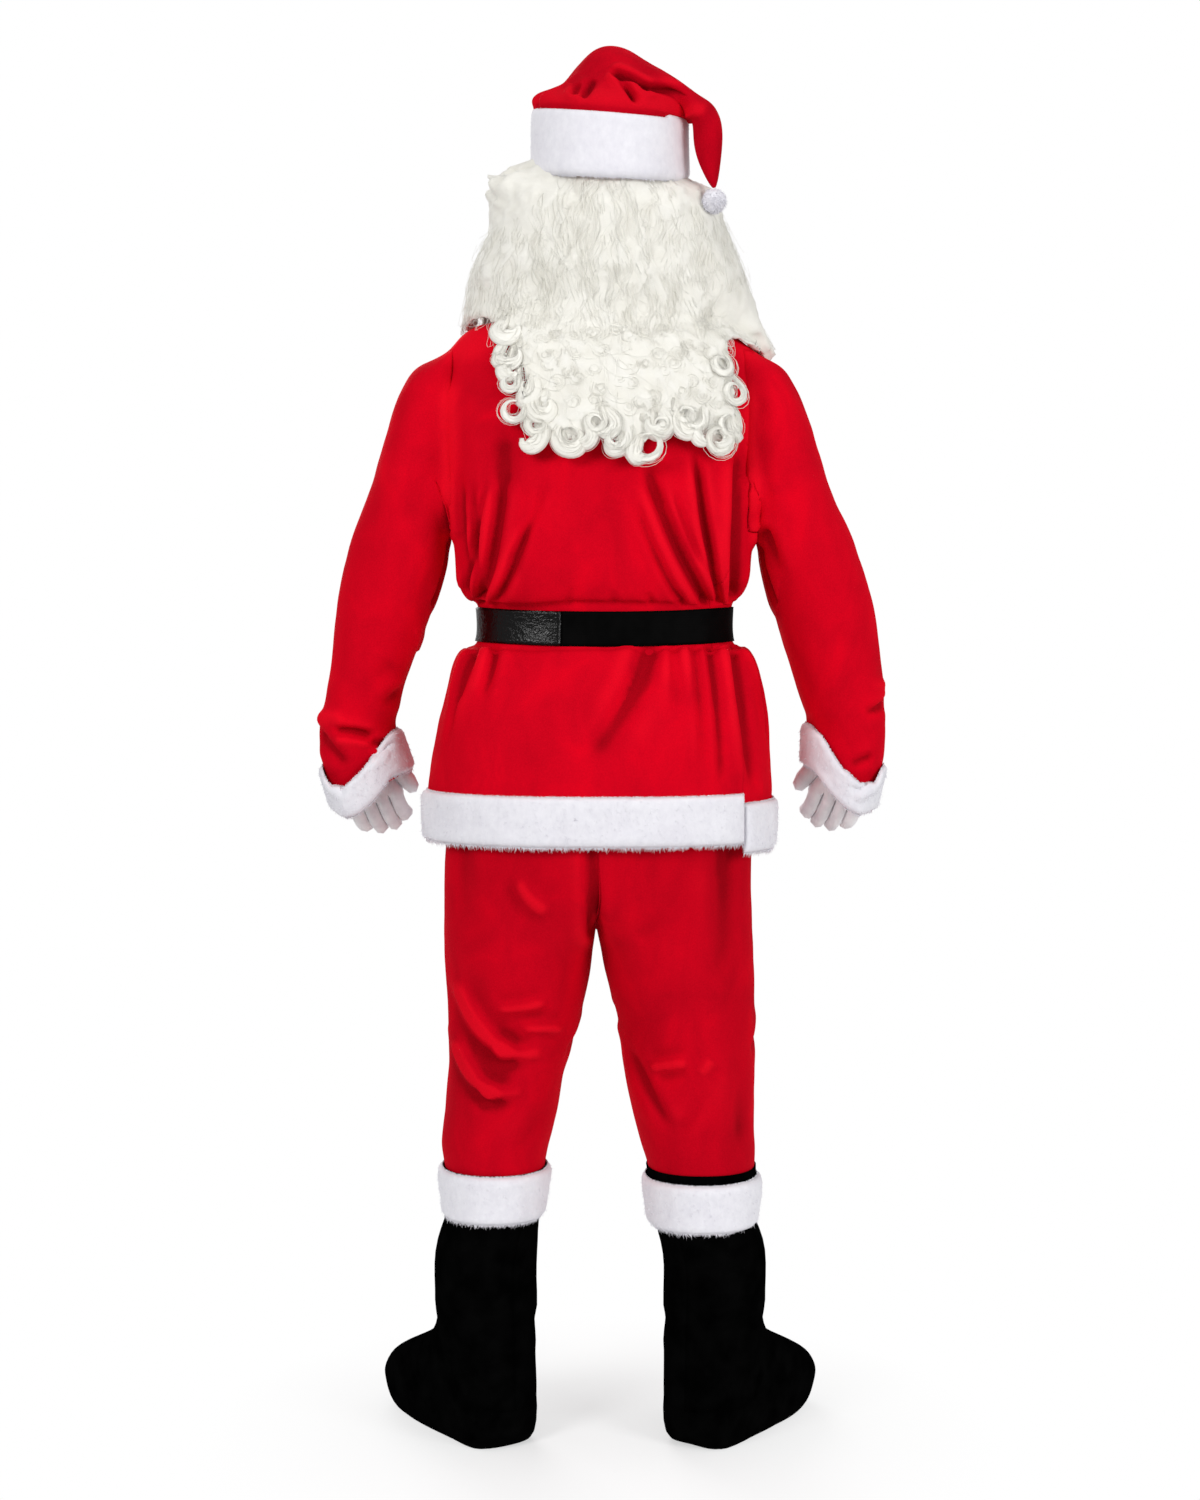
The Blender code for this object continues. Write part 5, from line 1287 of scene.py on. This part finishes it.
class Scalp:
    """The rounded outer side of a hair solid, for locks to follow."""

    def __init__(self, node):
        cage = outer_side(node, HAIR_RIM_ANGLE)
        bmesh.ops.join_triangles(cage, faces=cage.faces, angle_face_threshold=math.pi,
                                 angle_shape_threshold=math.pi)
        bmesh.ops.smooth_vert(cage, verts=cage.verts, factor=0.4, use_axis_x=True,
                              use_axis_y=True, use_axis_z=True)
        self.node = node
        self.mesh = rounded(cage, 2)
        self.tree = BVHTree.FromPolygons([v.co for v in self.mesh.vertices],
                                         [p.vertices for p in self.mesh.polygons])

    def spread(self, gap, low, high, rng, keep=lambda point, normal: True):
        """Points on it between two heights, about gap apart, lowest first."""
        bm = bmesh.new()
        bm.from_mesh(self.mesh)
        points, normals = sample(bm, TRIES, rng)
        bm.free()
        chosen = []
        for point, normal in zip(points, normals):
            height = point[2] + NECK_HEIGHT
            if low < height < high and keep(point, normal):
                if all(np.linalg.norm(point - other) > gap for other, _ in chosen):
                    chosen.append((point, normal))
        return sorted(chosen, key=lambda pair: pair[0][2])

    def walk(self, start, moves, heading=0.0, free=False):
        """Steps over it; moves are (step, turn) pairs and a heading of 0 is straight down.

        A free walk goes on past the solid's edge, as hair does that hangs clear.
        """
        place, normal = self.tree.find_nearest(Vector(start))[:2]
        places, normals = [], []
        for step, turn in moves:
            places.append(place)
            normals.append(normal)
            down = Vector((0.0, 0.0, -1.0))
            down = (down - normal * down.dot(normal)).normalized()
            heading += turn
            way = down * math.cos(heading) + normal.cross(down) * math.sin(heading)
            ahead = place + way * step
            near, facing, _, distance = self.tree.find_nearest(ahead)
            if free and distance > LEAVE_SHARE * step + LEAVE_GAP:
                place = ahead
            else:
                place = near
                normal = (normal + facing).normalized()
        return np.array(places), np.array(normals)


def softened(rows):
    """Smooths a path's rows a little, so that a lock doesn't kink."""
    for _ in range(2):
        inner = (rows[:-2] + 2 * rows[1:-1] + rows[2:]) / 4
        rows = np.concatenate([rows[:1], inner, rows[-1:]])
    return rows


def lock_shape(template, lock):
    """Bends a tube along a path as a flat strand, shifted sideways across its lock."""
    path = softened(lock.path) + softened(lock.normals) * lock.lift[:, None]
    along = np.gradient(path, axis=0)
    along /= np.linalg.norm(along, axis=1)[:, None] + 1e-12
    across = np.cross(softened(lock.normals), along)
    across /= np.linalg.norm(across, axis=1)[:, None] + 1e-12
    up = np.cross(along, across)
    c, s = np.cos(lock.twist)[:, None], np.sin(lock.twist)[:, None]
    across, up = across * c + up * s, up * c - across * s
    path = path + across * lock.shift[:, None]
    ring = np.rint(template[:, 2] * (RINGS - 1)).astype(int)
    return (path[ring] + across[ring] * (template[:, 0] * lock.width[ring])[:, None]
            + up[ring] * (template[:, 1] * lock.thick[ring])[:, None])


BODY, STRAND = tube_template(8), tube_template(3)
ALONG = np.linspace(0.0, 1.0, RINGS)          # shares of a lock's length, from its root
ROOT_LIFT = -0.003            # a lock's root lies under the surface of the mass
STRAND_WIDTH = (0.00025, 0.00042)             # half widths; a real hair is a tenth as wide
STRAY_WIDTH = 0.00020
STRAND_SPREAD, STRAND_STRAYING = 0.94, 0.05   # of a lock's width: how strands lie across it
STRAND_TONES = 0.12           # how much the strands of a lock differ in tone
# Painted shade: a lock's root lies under the rest of the hair, and is painted darker there.
ROOT_SHADE = 0.3              # how much darker a lock is at its root
Lock = namedtuple("Lock", "path normals width thick lift twist shift tone")


class Locks:
    """Locks of hair: fine strands, and for some a soft flat body under them."""

    def __init__(self, rng):
        self.rng = rng
        self.bodies = []
        self.strands = []

    def add(self, lock, count, loose, body=0.0, flat=0.0):
        """Adds a lock of count strands, which wander by loose metres.

        Its body has a share of the lock's width, and is flat by a share of its own.
        """
        rng = self.rng
        reach = lock.width
        if body:
            self.bodies.append(lock._replace(width=reach * body, thick=reach * body * flat))
        for index in range(count):
            place = ((index + 0.5) / count * 2 - 1) * STRAND_SPREAD + rng.normal(0, STRAND_STRAYING)
            place = min(max(place, -1.0), 1.0)
            wander = np.sin(ALONG * rng.uniform(3, 9) + rng.uniform(0, 6))
            wander = wander * smooth_step(ALONG, 0.05, 0.4)
            crown = reach * body * flat * math.sqrt(1 - (0.9 * place) ** 2)
            width = np.full(RINGS, rng.uniform(*STRAND_WIDTH)) * (1 - 0.6 * ALONG ** 3)
            self.strands.append(lock._replace(
                shift=place * reach * 0.90 + loose * wander,
                lift=lock.lift + crown - 0.0001 + loose * 0.4 * wander,
                width=width, thick=width * 0.8,
                tone=np.clip(lock.tone + rng.normal(0, STRAND_TONES), 0, 1)))

    def gather(self, name):
        gather_locks(name + "_locks", BODY, self.bodies)
        gather_locks(name + "_strands", STRAND, self.strands)


def gather_locks(name, template, locks):
    """One mesh of all the locks, each a little lighter or darker at random, with painted shade that
    deepens towards its root.
    """
    shape = read_points(template)
    mesh = strewn(name, template, np.array([lock_shape(shape, lock) for lock in locks]))
    tones_and_root_shade = np.array([lock.tone for lock in locks])[:, None] * (1 - ROOT_SHADE)
    tones_and_root_shade = tones_and_root_shade + ROOT_SHADE * smooth_step(shape[:, 2], 0.0, 0.5)
    mesh.attributes.new("tone", "FLOAT", "POINT").data.foreach_set("value", tones_and_root_shade.ravel())
    finish_piece(to_object(name, mesh), HAIR)


def taper(root, tip, low, end):
    """A lock's width along its length: low at its root, and end at its tip."""
    opening = low + (1 - low) * smooth_step(ALONG, 0.0, root)
    return opening * (1 - (1 - end) * smooth_step(ALONG, tip, 1.0))


STEM_RINGS = 5                # of a lock's rings, before it starts to curl


def rosette(scalp, start, rng, radius, turns, stem, width, rise=0.0012, open_end=0.30,
            roll=0.22, free=False):
    """A lock that hangs down and then winds into a flat curl."""
    hand = rng.choice([-1.0, 1.0])
    curled = RINGS - STEM_RINGS
    moves = [(stem / STEM_RINGS, rng.uniform(-0.10, 0.10)) for _ in range(STEM_RINGS)]
    arc = turns * math.tau / curled
    for index in range(curled):
        bend = radius * (1 - (1 - open_end) * (index / curled) ** 0.9)
        moves.append((bend * arc, hand * arc))
    path, normals = scalp.walk(start, moves, rng.uniform(-0.25, 0.25) - 0.35 * hand, free)
    lift = ROOT_LIFT + (rise - ROOT_LIFT) * smooth_step(ALONG, 0.0, 0.4) + rng.uniform(0.0, 0.0012)
    twist = hand * roll * smooth_step(ALONG, 0.3, 0.9) + rng.normal(0, 0.08)
    shape = taper(0.25, 0.60, 0.5, 0.25) * width
    return Lock(path, normals, shape, shape, lift, twist, 0 * ALONG, rng.uniform(0.3, 0.9))


WAVE_BEND, WAVE_FLICK = 0.45, 1.6         # how far a wave swings, and its tip may flick aside
WAVE_LIFT = 0.0010


def wave(scalp, start, rng, length, width, flick):
    """A lock that hangs in soft waves, with its tip turned aside."""
    turns = rng.uniform(0.8, 1.5)
    phase = rng.uniform(0, math.tau)
    heading = WAVE_BEND * np.sin(ALONG * turns * math.tau + phase) * smooth_step(ALONG, 0.0, 0.3)
    heading = heading + rng.choice([-1.0, 1.0]) * flick * smooth_step(ALONG, 0.65, 1.0)
    moves = [(length / RINGS, turn) for turn in np.diff(heading, prepend=0.0)]
    path, normals = scalp.walk(start, moves, rng.normal(0.0, 0.08))
    lift = ROOT_LIFT + (WAVE_LIFT - ROOT_LIFT) * smooth_step(ALONG, 0.0, 0.3)
    lift = lift - 0.002 * smooth_step(ALONG, 0.8, 1.0)
    lift = lift + 0.0012 * np.sin(ALONG * turns * math.tau * 1.3 + phase) + rng.uniform(0, 0.0012)
    twist = 0.25 * np.sin(ALONG * turns * math.tau + phase + 1.2)
    shape = taper(0.2, 0.65, 0.6, 0.2) * width
    return Lock(path, normals, shape, shape, lift, twist, 0 * ALONG, rng.uniform(0.7, 1.0))


def stray(scalp, start, rng, length, rise):
    """A single loose hair that leaves the rest."""
    heading = np.cumsum(rng.normal(0.0, 0.05, RINGS)) + rng.normal() * 2.6 * ALONG ** 2
    moves = [(length / RINGS, turn) for turn in np.diff(heading, prepend=0.0)]
    path, normals = scalp.walk(start, moves, rng.normal(0.0, 0.5))
    lift = 0.003 + rise * ALONG ** 1.5
    width = np.full(RINGS, STRAY_WIDTH)
    return Lock(path, normals, width, width, lift, 0 * ALONG, 0 * ALONG, rng.uniform(0.4, 1.0))


# The wig's outline on the back: height and left edge, then sideways place and lower edge.
WIG_EDGE = [(1.310, 0.068), (1.332, 0.082), (1.354, 0.094), (1.383, 0.097), (1.430, 0.113),
            (1.483, 0.134), (1.500, 0.300)]
WIG_FRINGE = [(-0.190, 1.400), (-0.184, 1.345), (-0.160, 1.314), (-0.138, 1.324), (-0.114, 1.350),
              (-0.080, 1.335), (-0.062, 1.308), (-0.047, 1.298), (-0.030, 1.312), (-0.018, 1.345),
              (0.000, 1.330), (0.025, 1.314), (0.045, 1.316), (0.070, 1.330), (0.090, 1.342),
              (0.100, 1.365), (0.135, 1.480)]
LOOPS = [                     # sideways place, lowest height and radius of each open loop
    (0.090, 1.346, 0.017), (0.060, 1.330, 0.014), (0.030, 1.314, 0.017), (-0.003, 1.333, 0.013),
    (-0.047, 1.294, 0.020), (-0.033, 1.312, 0.016), (-0.074, 1.328, 0.014), (-0.100, 1.345, 0.012),
    (-0.128, 1.338, 0.016), (-0.155, 1.312, 0.021), (-0.174, 1.338, 0.018), (-0.176, 1.382, 0.017),
    (-0.168, 1.425, 0.015), (0.097, 1.385, 0.012), (0.108, 1.425, 0.012),
]


SWELLS = [                    # where the hair bulges out: its middle, how far and how it reaches
    ((0.088, 0.020, 1.676), (0.030, 0.0, 0.012), (0.040, 0.060, 0.026)),
    ((0.100, 0.020, 1.642), (0.018, 0.0, 0.002), (0.045, 0.060, 0.030)),
    ((-0.125, 0.030, 1.650), (-0.010, 0.0, 0.002), (0.040, 0.060, 0.028)),
    ((-0.180, 0.010, 1.512), (-0.010, 0.0, -0.008), (0.040, 0.060, 0.026)),
    ((-0.202, 0.005, 1.490), (-0.032, 0.0, -0.038), (0.028, 0.050, 0.022)),
]
PUFFS = [                     # sideways place, depth and height along each lock that lies apart
    [(-0.172, 0.010, 1.560), (-0.190, 0.006, 1.530), (-0.206, 0.000, 1.506),
     (-0.219, -0.004, 1.484), (-0.232, -0.008, 1.464)],
    [(-0.156, 0.014, 1.545), (-0.172, 0.012, 1.515), (-0.186, 0.006, 1.494),
     (-0.200, 0.002, 1.480), (-0.214, -0.002, 1.470)],
    [(-0.166, 0.004, 1.565), (-0.188, -0.002, 1.532), (-0.206, -0.006, 1.502),
     (-0.220, -0.010, 1.480), (-0.236, -0.012, 1.460)],
    [(-0.158, 0.024, 1.552), (-0.176, 0.020, 1.524), (-0.192, 0.016, 1.502),
     (-0.208, 0.010, 1.484), (-0.224, 0.004, 1.468)],
    [(-0.150, 0.036, 1.530), (-0.164, 0.034, 1.508), (-0.180, 0.030, 1.492),
     (-0.196, 0.024, 1.480), (-0.212, 0.018, 1.470)],
]


HANG_TOP = 1.500              # the outline holds below this height
SIDE_FOOT = 1.400             # the hair in front of the ears ends here
OVER_LEFT_ARM = (0.126, -0.070, 1.477)    # farther aside, farther back and lower it is bare


def table_value(table, at):
    places, values = zip(*table)
    return float(np.interp(at, places, values))


def on_wig(point, margin=0.0):
    """Whether a point of the wig lies within the outline of its hanging hair."""
    height = point[2] + NECK_HEIGHT
    if height > HANG_TOP or point[1] < 0:
        return height > SIDE_FOOT
    inside = point[0] < table_value(WIG_EDGE, height) - margin
    return inside and height > table_value(WIG_FRINGE, point[0]) + margin


CURL_RADIUS = (0.0090, 0.0125)
CURL_DOME, CURL_GROOVE = 0.0026, 0.0015       # how far a curl rises, and the turns within it


def wound(points, centres, rng):
    """Flat curls at the centres: their relief, their cover, and how the hair winds in them."""
    relief, cover, ring, turn = np.zeros((4, len(points)))
    for centre, normal in centres:
        radius = rng.uniform(*CURL_RADIUS)
        hand = rng.choice([-1.0, 1.0])
        right = np.cross([0.0, 0.0, 1.0], normal)
        right /= np.linalg.norm(right)
        upward = np.cross(normal, right)
        offset = points - centre
        x, y = offset @ right, offset @ upward
        away = np.linalg.norm(offset, axis=1)
        angle = np.arctan2(y, x) * hand
        inside = 1 - smooth_step(away, 0.75 * radius, 1.15 * radius)
        spiral = np.cos(away * math.tau / CURL_PITCH - angle + rng.uniform(0.0, math.tau))
        rise = CURL_DOME * np.clip(1 - (away / radius) ** 2, 0.0, 1.0) + CURL_GROOVE * spiral
        nearer = inside > cover
        relief = np.where(nearer, rise, relief)
        ring = np.where(nearer, away, ring)
        turn = np.where(nearer, angle * radius * 0.6, turn)
        cover = np.maximum(cover, inside)
    return relief, cover, ring, turn


HEAD_REACH = 0.16             # metres across the hair for each radian around the head
SWAY, SWAY_PITCH = 0.0055, 0.060          # how far aside the hair sways, and how often
LOCK_PITCH, FINE_PITCH = 0.0085, 0.0038   # across the hair
CRIMP_PITCH = 0.026           # down the hair
# How far each unevenness lifts the hair.
LUMP_LIFT, LOCK_LIFT, FINE_LIFT, CRIMP_LIFT = 0.0030, 0.0022, 0.0008, 0.0006


def combed(points):
    """Each point's place across the hair, which sways as it hangs, and its soft waves."""
    around = np.arctan2(points[:, 0] - HEAD_MIDDLE, np.abs(points[:, 1]) + 0.05) * HEAD_REACH
    drift = np.array([noise.noise(Vector(p) / 0.050) for p in points])
    sway = SWAY * np.sin(points[:, 2] * math.tau / SWAY_PITCH + 5.0 * drift)
    across = around + sway
    locks = np.array([noise.noise(Vector((a / LOCK_PITCH, z / 0.060, y / 0.06)))
                      for a, (_, y, z) in zip(across, points)])
    fine = np.array([noise.noise(Vector((a / FINE_PITCH, z / 0.045, 3.0)))
                     for a, z in zip(across, points[:, 2])])
    lump = np.array([noise.noise(Vector(p) / 0.030 + Vector((9.0, 0.0, 0.0))) for p in points])
    crimp = np.sin(points[:, 2] * math.tau / CRIMP_PITCH + 6.0 * locks + 3.0 * drift)
    form = LUMP_LIFT * lump + LOCK_LIFT * locks + FINE_LIFT * fine + CRIMP_LIFT * crimp
    return across, form


def bulge(point):
    """How far the hair bulges out at a point."""
    shift = Vector()
    for middle, way, reach in SWELLS:
        away = Vector(((point[0] - middle[0]) / reach[0], (point[1] - middle[1]) / reach[1],
                       (point[2] + NECK_HEIGHT - middle[2]) / reach[2]))
        share = math.exp(-away.length_squared)
        shift += Vector(way) * share * (1 + 0.5 * noise.noise(Vector(point) / 0.014))
    return shift


RIM_PASSES = 6
COARSE_ABOVE = 1.700          # higher up the hat hides the hair, which stays coarse
WAVES_IN_CURLS = 0.3          # the share of the waves that is left where a curl lies
# Painted light and shade on the mass: hair is painted lighter by the first of these for each metre
# it is raised, and darker where it sinks; the second gives patches at random.
RELIEF_LIGHT_AND_SHADE, TONE_PATCHES = 90, 0.25        # lighter by this for each metre of height, and in patches


def hair_mass(scalp, rng, keep, curls, settle=lambda point: 0.0, fullness=1.0):
    """The mass of hair: the solid's outer side, combed into waves and wound into curls.

    Fullness is a share of its relief, and settle says how far it lies lower at a point.
    """
    bm = bmesh.new()
    bm.from_mesh(scalp.mesh)
    out = [face for face in bm.faces if not keep(face.calc_center_median())]
    bmesh.ops.delete(bm, geom=out, context="FACES")
    for _ in range(RIM_PASSES):
        rim = [vert for vert in bm.verts if vert.is_boundary]
        bmesh.ops.smooth_vert(bm, verts=rim, factor=0.5, use_axis_x=True, use_axis_y=True,
                              use_axis_z=True)
    near = [edge for edge in bm.edges
            if sum(vert.co.z for vert in edge.verts) / 2 + NECK_HEIGHT < COARSE_ABOVE]
    bmesh.ops.subdivide_edges(bm, edges=near, cuts=1, use_grid_fill=True)
    bm.normal_update()
    points = np.array([vert.co for vert in bm.verts])
    normals = np.array([vert.normal for vert in bm.verts])
    across, form = combed(points)
    relief, cover, ring, turn = wound(points, curls, rng)
    lifts = fullness * (form * (1 - cover) + (relief + WAVES_IN_CURLS * form) * cover)
    lifts = lifts - np.array([settle(point) for point in points])
    # Painted light on raised hair and painted shade where it sinks, with lighter and darker patches
    # at random.
    tone = bm.verts.layers.float.new("tone")
    for vert, point, normal, lift in zip(bm.verts, points, normals, lifts):
        vert.co = Vector(point + normal * lift) + bulge(point)
        vert[tone] = 0.5 + RELIEF_LIGHT_AND_SHADE * lift + TONE_PATCHES * noise.noise(Vector(point) / 0.02)
    layer = bm.loops.layers.uv.new("lock")
    bm.verts.index_update()
    u = np.where(cover > 0.5, ring, across)
    v = np.where(cover > 0.5, turn, points[:, 2])
    for face in bm.faces:
        for loop in face.loops:
            loop[layer].uv = (u[loop.vert.index], v[loop.vert.index])
    piece = to_object(scalp.node + "_mass", bm)
    finish_piece(piece, HAIR, [scalp.node], HAIR_WALL)


HOOK_ABOVE, CURL_ABOVE, LOOP_ABOVE = 0.034, 0.030, 0.036     # a lock's root above its place
CURL_SCALE = 1.1
LOOP_DEPTH = 0.12             # behind the wearer's neck


def hook_at(locks, scalp, point):
    """A broad soft lock at the rim, whose tip turns in once and leaves a small eye."""
    rng = locks.rng
    start = point + np.array([0.0, 0.0, HOOK_ABOVE])
    lock = rosette(scalp, start, rng, radius=rng.uniform(0.0120, 0.0190),
                   turns=rng.uniform(0.42, 0.78), stem=rng.uniform(0.018, 0.030),
                   width=rng.uniform(0.0105, 0.0150), rise=0.0030, open_end=0.60,
                   roll=rng.uniform(0.1, 0.6))
    locks.add(lock, count=12, loose=0.0026, body=0.84, flat=0.30)


def curl_at(locks, scalp, point):
    """A few strands that wind into a flat curl near a point."""
    rng = locks.rng
    start = point + np.array([0.0, 0.0, CURL_ABOVE])
    lock = rosette(scalp, start, rng, radius=CURL_SCALE * rng.uniform(0.0085, 0.0110),
                   turns=rng.uniform(1.0, 1.5), stem=CURL_SCALE * rng.uniform(0.018, 0.028),
                   width=CURL_SCALE * rng.uniform(0.0048, 0.0062))
    locks.add(lock, count=3, loose=0.0018)


def wave_at(locks, scalp, point):
    """A few strands that hang in waves from a point."""
    rng = locks.rng
    lock = wave(scalp, point, rng, length=rng.uniform(0.060, 0.100),
                width=rng.uniform(0.0085, 0.0120), flick=rng.uniform(0.0, WAVE_FLICK))
    locks.add(lock, count=3, loose=0.0012)


def loop_at(locks, scalp, x, height, radius):
    """A big open loop of loose strands that hangs past the lower edge."""
    rng = locks.rng
    start = np.array([x, LOOP_DEPTH, height + LOOP_ABOVE + radius - NECK_HEIGHT])
    lock = rosette(scalp, start, rng, radius, turns=rng.uniform(0.85, 1.15), stem=0.034,
                   width=rng.uniform(0.0085, 0.0105), rise=0.004, open_end=0.62,
                   roll=rng.uniform(0.3, 1.0), free=True)
    locks.add(lock, count=15, loose=0.0042, body=0.55, flat=0.28)


JACKET_TREE = BVHTree.FromPolygons([Vector(p) for p in jacket.points],
                                   [p.vertices for p in jacket.mesh.polygons])


def off_jacket(path, gap):
    """Lifts a path's points to at least a gap above the jacket."""
    places = []
    for point in path:
        near, normal = JACKET_TREE.find_nearest(Vector(point))[:2]
        short = gap - (Vector(point) - near).dot(normal)
        places.append(Vector(point) + normal * max(short, 0.0))
    return np.array(places)


PUFF_CLEAR = 0.007            # from the jacket
PUFF_WIDTH, PUFF_STRANDS = 0.0100, 22


def puff(locks, way):
    """A thick loose lock that stands out along a few points, instead of lying on the rest."""
    rng = locks.rng
    guide = np.array([(x, y, height - NECK_HEIGHT) for x, y, height in way])
    knots = np.linspace(0.0, 1.0, len(guide))
    path = np.column_stack([np.interp(ALONG, knots, guide[:, axis]) for axis in range(3)])
    path = off_jacket(path, PUFF_CLEAR)
    for _ in range(3):
        path = softened(path)
    normals = path - np.array([HEAD_MIDDLE, 0.0, 0.0])
    normals[:, 2] = 0.02
    normals /= np.linalg.norm(normals, axis=1)[:, None]
    shape = taper(0.2, 0.7, 0.6, 0.45) * PUFF_WIDTH
    twist = 0.3 * np.sin(ALONG * 4 + rng.uniform(0, 6))
    lock = Lock(path, normals, shape, shape, 0 * ALONG, twist, 0 * ALONG, rng.uniform(0.4, 0.9))
    locks.add(lock, PUFF_STRANDS, loose=0.0045)


def strays(name, scalp, rng, places, above):
    """One piece of loose hairs, each from a little above its place."""
    wisps = [stray(scalp, point + np.array([0, 0, above]), rng,
                   length=rng.uniform(0.05, 0.11), rise=rng.uniform(0.002, 0.008))
             for point, _ in places]
    gather_locks(name, STRAND, wisps)


def within(point):
    """How far a point of the hanging hair lies inside its outline."""
    height = point[2] + NECK_HEIGHT
    if height > HANG_TOP or point[1] < 0:
        return 1.0
    return min(height - table_value(WIG_FRINGE, point[0]),
               table_value(WIG_EDGE, height) - point[0])


def hangs(point, normal):
    """Whether the wig's hair hangs at a point, apart from its rim and a strip over the arm."""
    return on_wig(point, 0.020) and not over_left_arm(point)


def over_left_arm(point):
    aside, depth, height = OVER_LEFT_ARM
    return point[0] > aside and point[2] + NECK_HEIGHT < height and point[1] > depth


def at_rim(point, normal):
    """Whether a point lies in the wig's hanging rim, where the hooked locks are."""
    return on_wig(point, 0.001) and within(point) < 0.020


HOOK_GAP, CURL_GAP = 0.0230, 0.0185           # between neighbours


def make_wig():
    scalp = Scalp("wig")
    rng = np.random.default_rng(51)
    curls = scalp.spread(CURL_GAP, 1.300, 1.470, rng, lambda p, n: on_wig(p, 0.010))
    hair_mass(scalp, rng, lambda at: on_wig(at, 0.006) and not over_left_arm(at), curls,
              lambda point: 0.005 * (1 - float(smooth_step(within(point), 0.004, 0.026))))
    locks = Locks(rng)
    for point, _ in scalp.spread(HOOK_GAP, 1.295, 1.480, rng, at_rim):
        hook_at(locks, scalp, point)
    for point, _ in scalp.spread(CURL_GAP, 1.320, 1.475, rng, hangs):
        curl_at(locks, scalp, point)
    for point, _ in scalp.spread(0.0170, 1.500, 1.700, rng, hangs):
        wave_at(locks, scalp, point)
    for x, height, radius in LOOPS:
        loop_at(locks, scalp, x, height, radius)
    for way in PUFFS:
        puff(locks, way)
    locks.gather("wig")
    places = scalp.spread(0.022, 1.36, 1.62, rng, lambda p, n: on_wig(p))
    strays("wig_wisps", scalp, rng, places, 0.03)


BEARD_FULLNESS = 1.8


def off_left_arm(point, normal=None):
    return not over_left_arm(point)


def make_beard():
    scalp = Scalp("beard")
    rng = np.random.default_rng(61)
    curls = scalp.spread(0.0195, 1.300, 1.560, rng)
    hair_mass(scalp, rng, off_left_arm, curls, fullness=BEARD_FULLNESS)
    locks = Locks(rng)
    for point, _ in scalp.spread(HOOK_GAP, 1.30, 1.42, rng, off_left_arm):
        hook_at(locks, scalp, point)
    for point, _ in scalp.spread(0.0165, 1.44, 1.63, rng, off_left_arm):
        wave_at(locks, scalp, point)
    locks.gather("beard")
    strays("beard_wisps", scalp, rng, scalp.spread(0.023, 1.32, 1.58, rng), 0.02)


make_wig()
make_beard()


# ---------------------------------------------------------------- camera, light and floor
def area_light(name, place, target, size, power):
    lamp = bpy.data.lights.new(name, "AREA")
    lamp.shape = "DISK"
    lamp.size = size
    lamp.energy = power
    item = bpy.data.objects.new(name, lamp)
    item.location = place
    item.rotation_euler = (Vector(target) - Vector(place)).to_track_quat("-Z", "Y").to_euler()
    bpy.context.scene.collection.objects.link(item)


LIGHTS = [                    # name, place, target, diameter and power in watts
    ("key", (2.1, 2.7, 0.9), (0.0, 0.0, -0.35), 1.3, 61),
    ("fill", (-2.6, 2.4, 0.2), (0.0, 0.0, -0.4), 1.6, 60),
    ("front", (0.8, -3.2, 0.8), (0.0, 0.0, -0.5), 2.0, 56),
    ("top", (0.0, 0.3, 2.4), (0.0, 0.0, -0.6), 1.6, 10),
]
ROOM_LIGHT = 0.46             # the white room's strength; it looks fully white
FLOOR_RADIUS = 0.98
CAMERA_PLACE, CAMERA_TARGET = (-0.005, 3.3, -0.37), (-0.005, 0.0, -0.59)
LENS_MM, SENSOR_MM = 59.52, 36.0


def set_stage():
    scene = bpy.context.scene
    scene.view_settings.view_transform = "Standard"
    world = bpy.data.worlds.new("studio")
    scene.world = world
    world.use_nodes = True
    tree = world.node_tree
    background = tree.nodes["Background"]
    ray = add_node(tree, "ShaderNodeLightPath").outputs["Is Camera Ray"]
    seen = add_node(tree, "ShaderNodeMapRange", [("Value", ray)], To_Min=ROOM_LIGHT, To_Max=1.0)
    tree.links.new(seen.outputs["Result"], background.inputs["Strength"])
    background.inputs["Color"].default_value = linear("FFFFFF")

    bm = bmesh.new()
    bmesh.ops.create_circle(bm, cap_ends=True, segments=96, radius=FLOOR_RADIUS)
    floor = to_object("floor", bm)
    floor.location = (0.0, 0.0, -NECK_HEIGHT)
    floor.data.materials.append(pale_floor())

    for light in LIGHTS:
        area_light(*light)

    lens = bpy.data.cameras.new("camera")
    lens.sensor_width = SENSOR_MM
    lens.lens = LENS_MM
    camera = bpy.data.objects.new("camera", lens)
    camera.location = CAMERA_PLACE
    way = Vector(CAMERA_TARGET) - camera.location
    camera.rotation_euler = way.to_track_quat("-Z", "Y").to_euler()
    scene.collection.objects.link(camera)
    scene.camera = camera


set_stage()
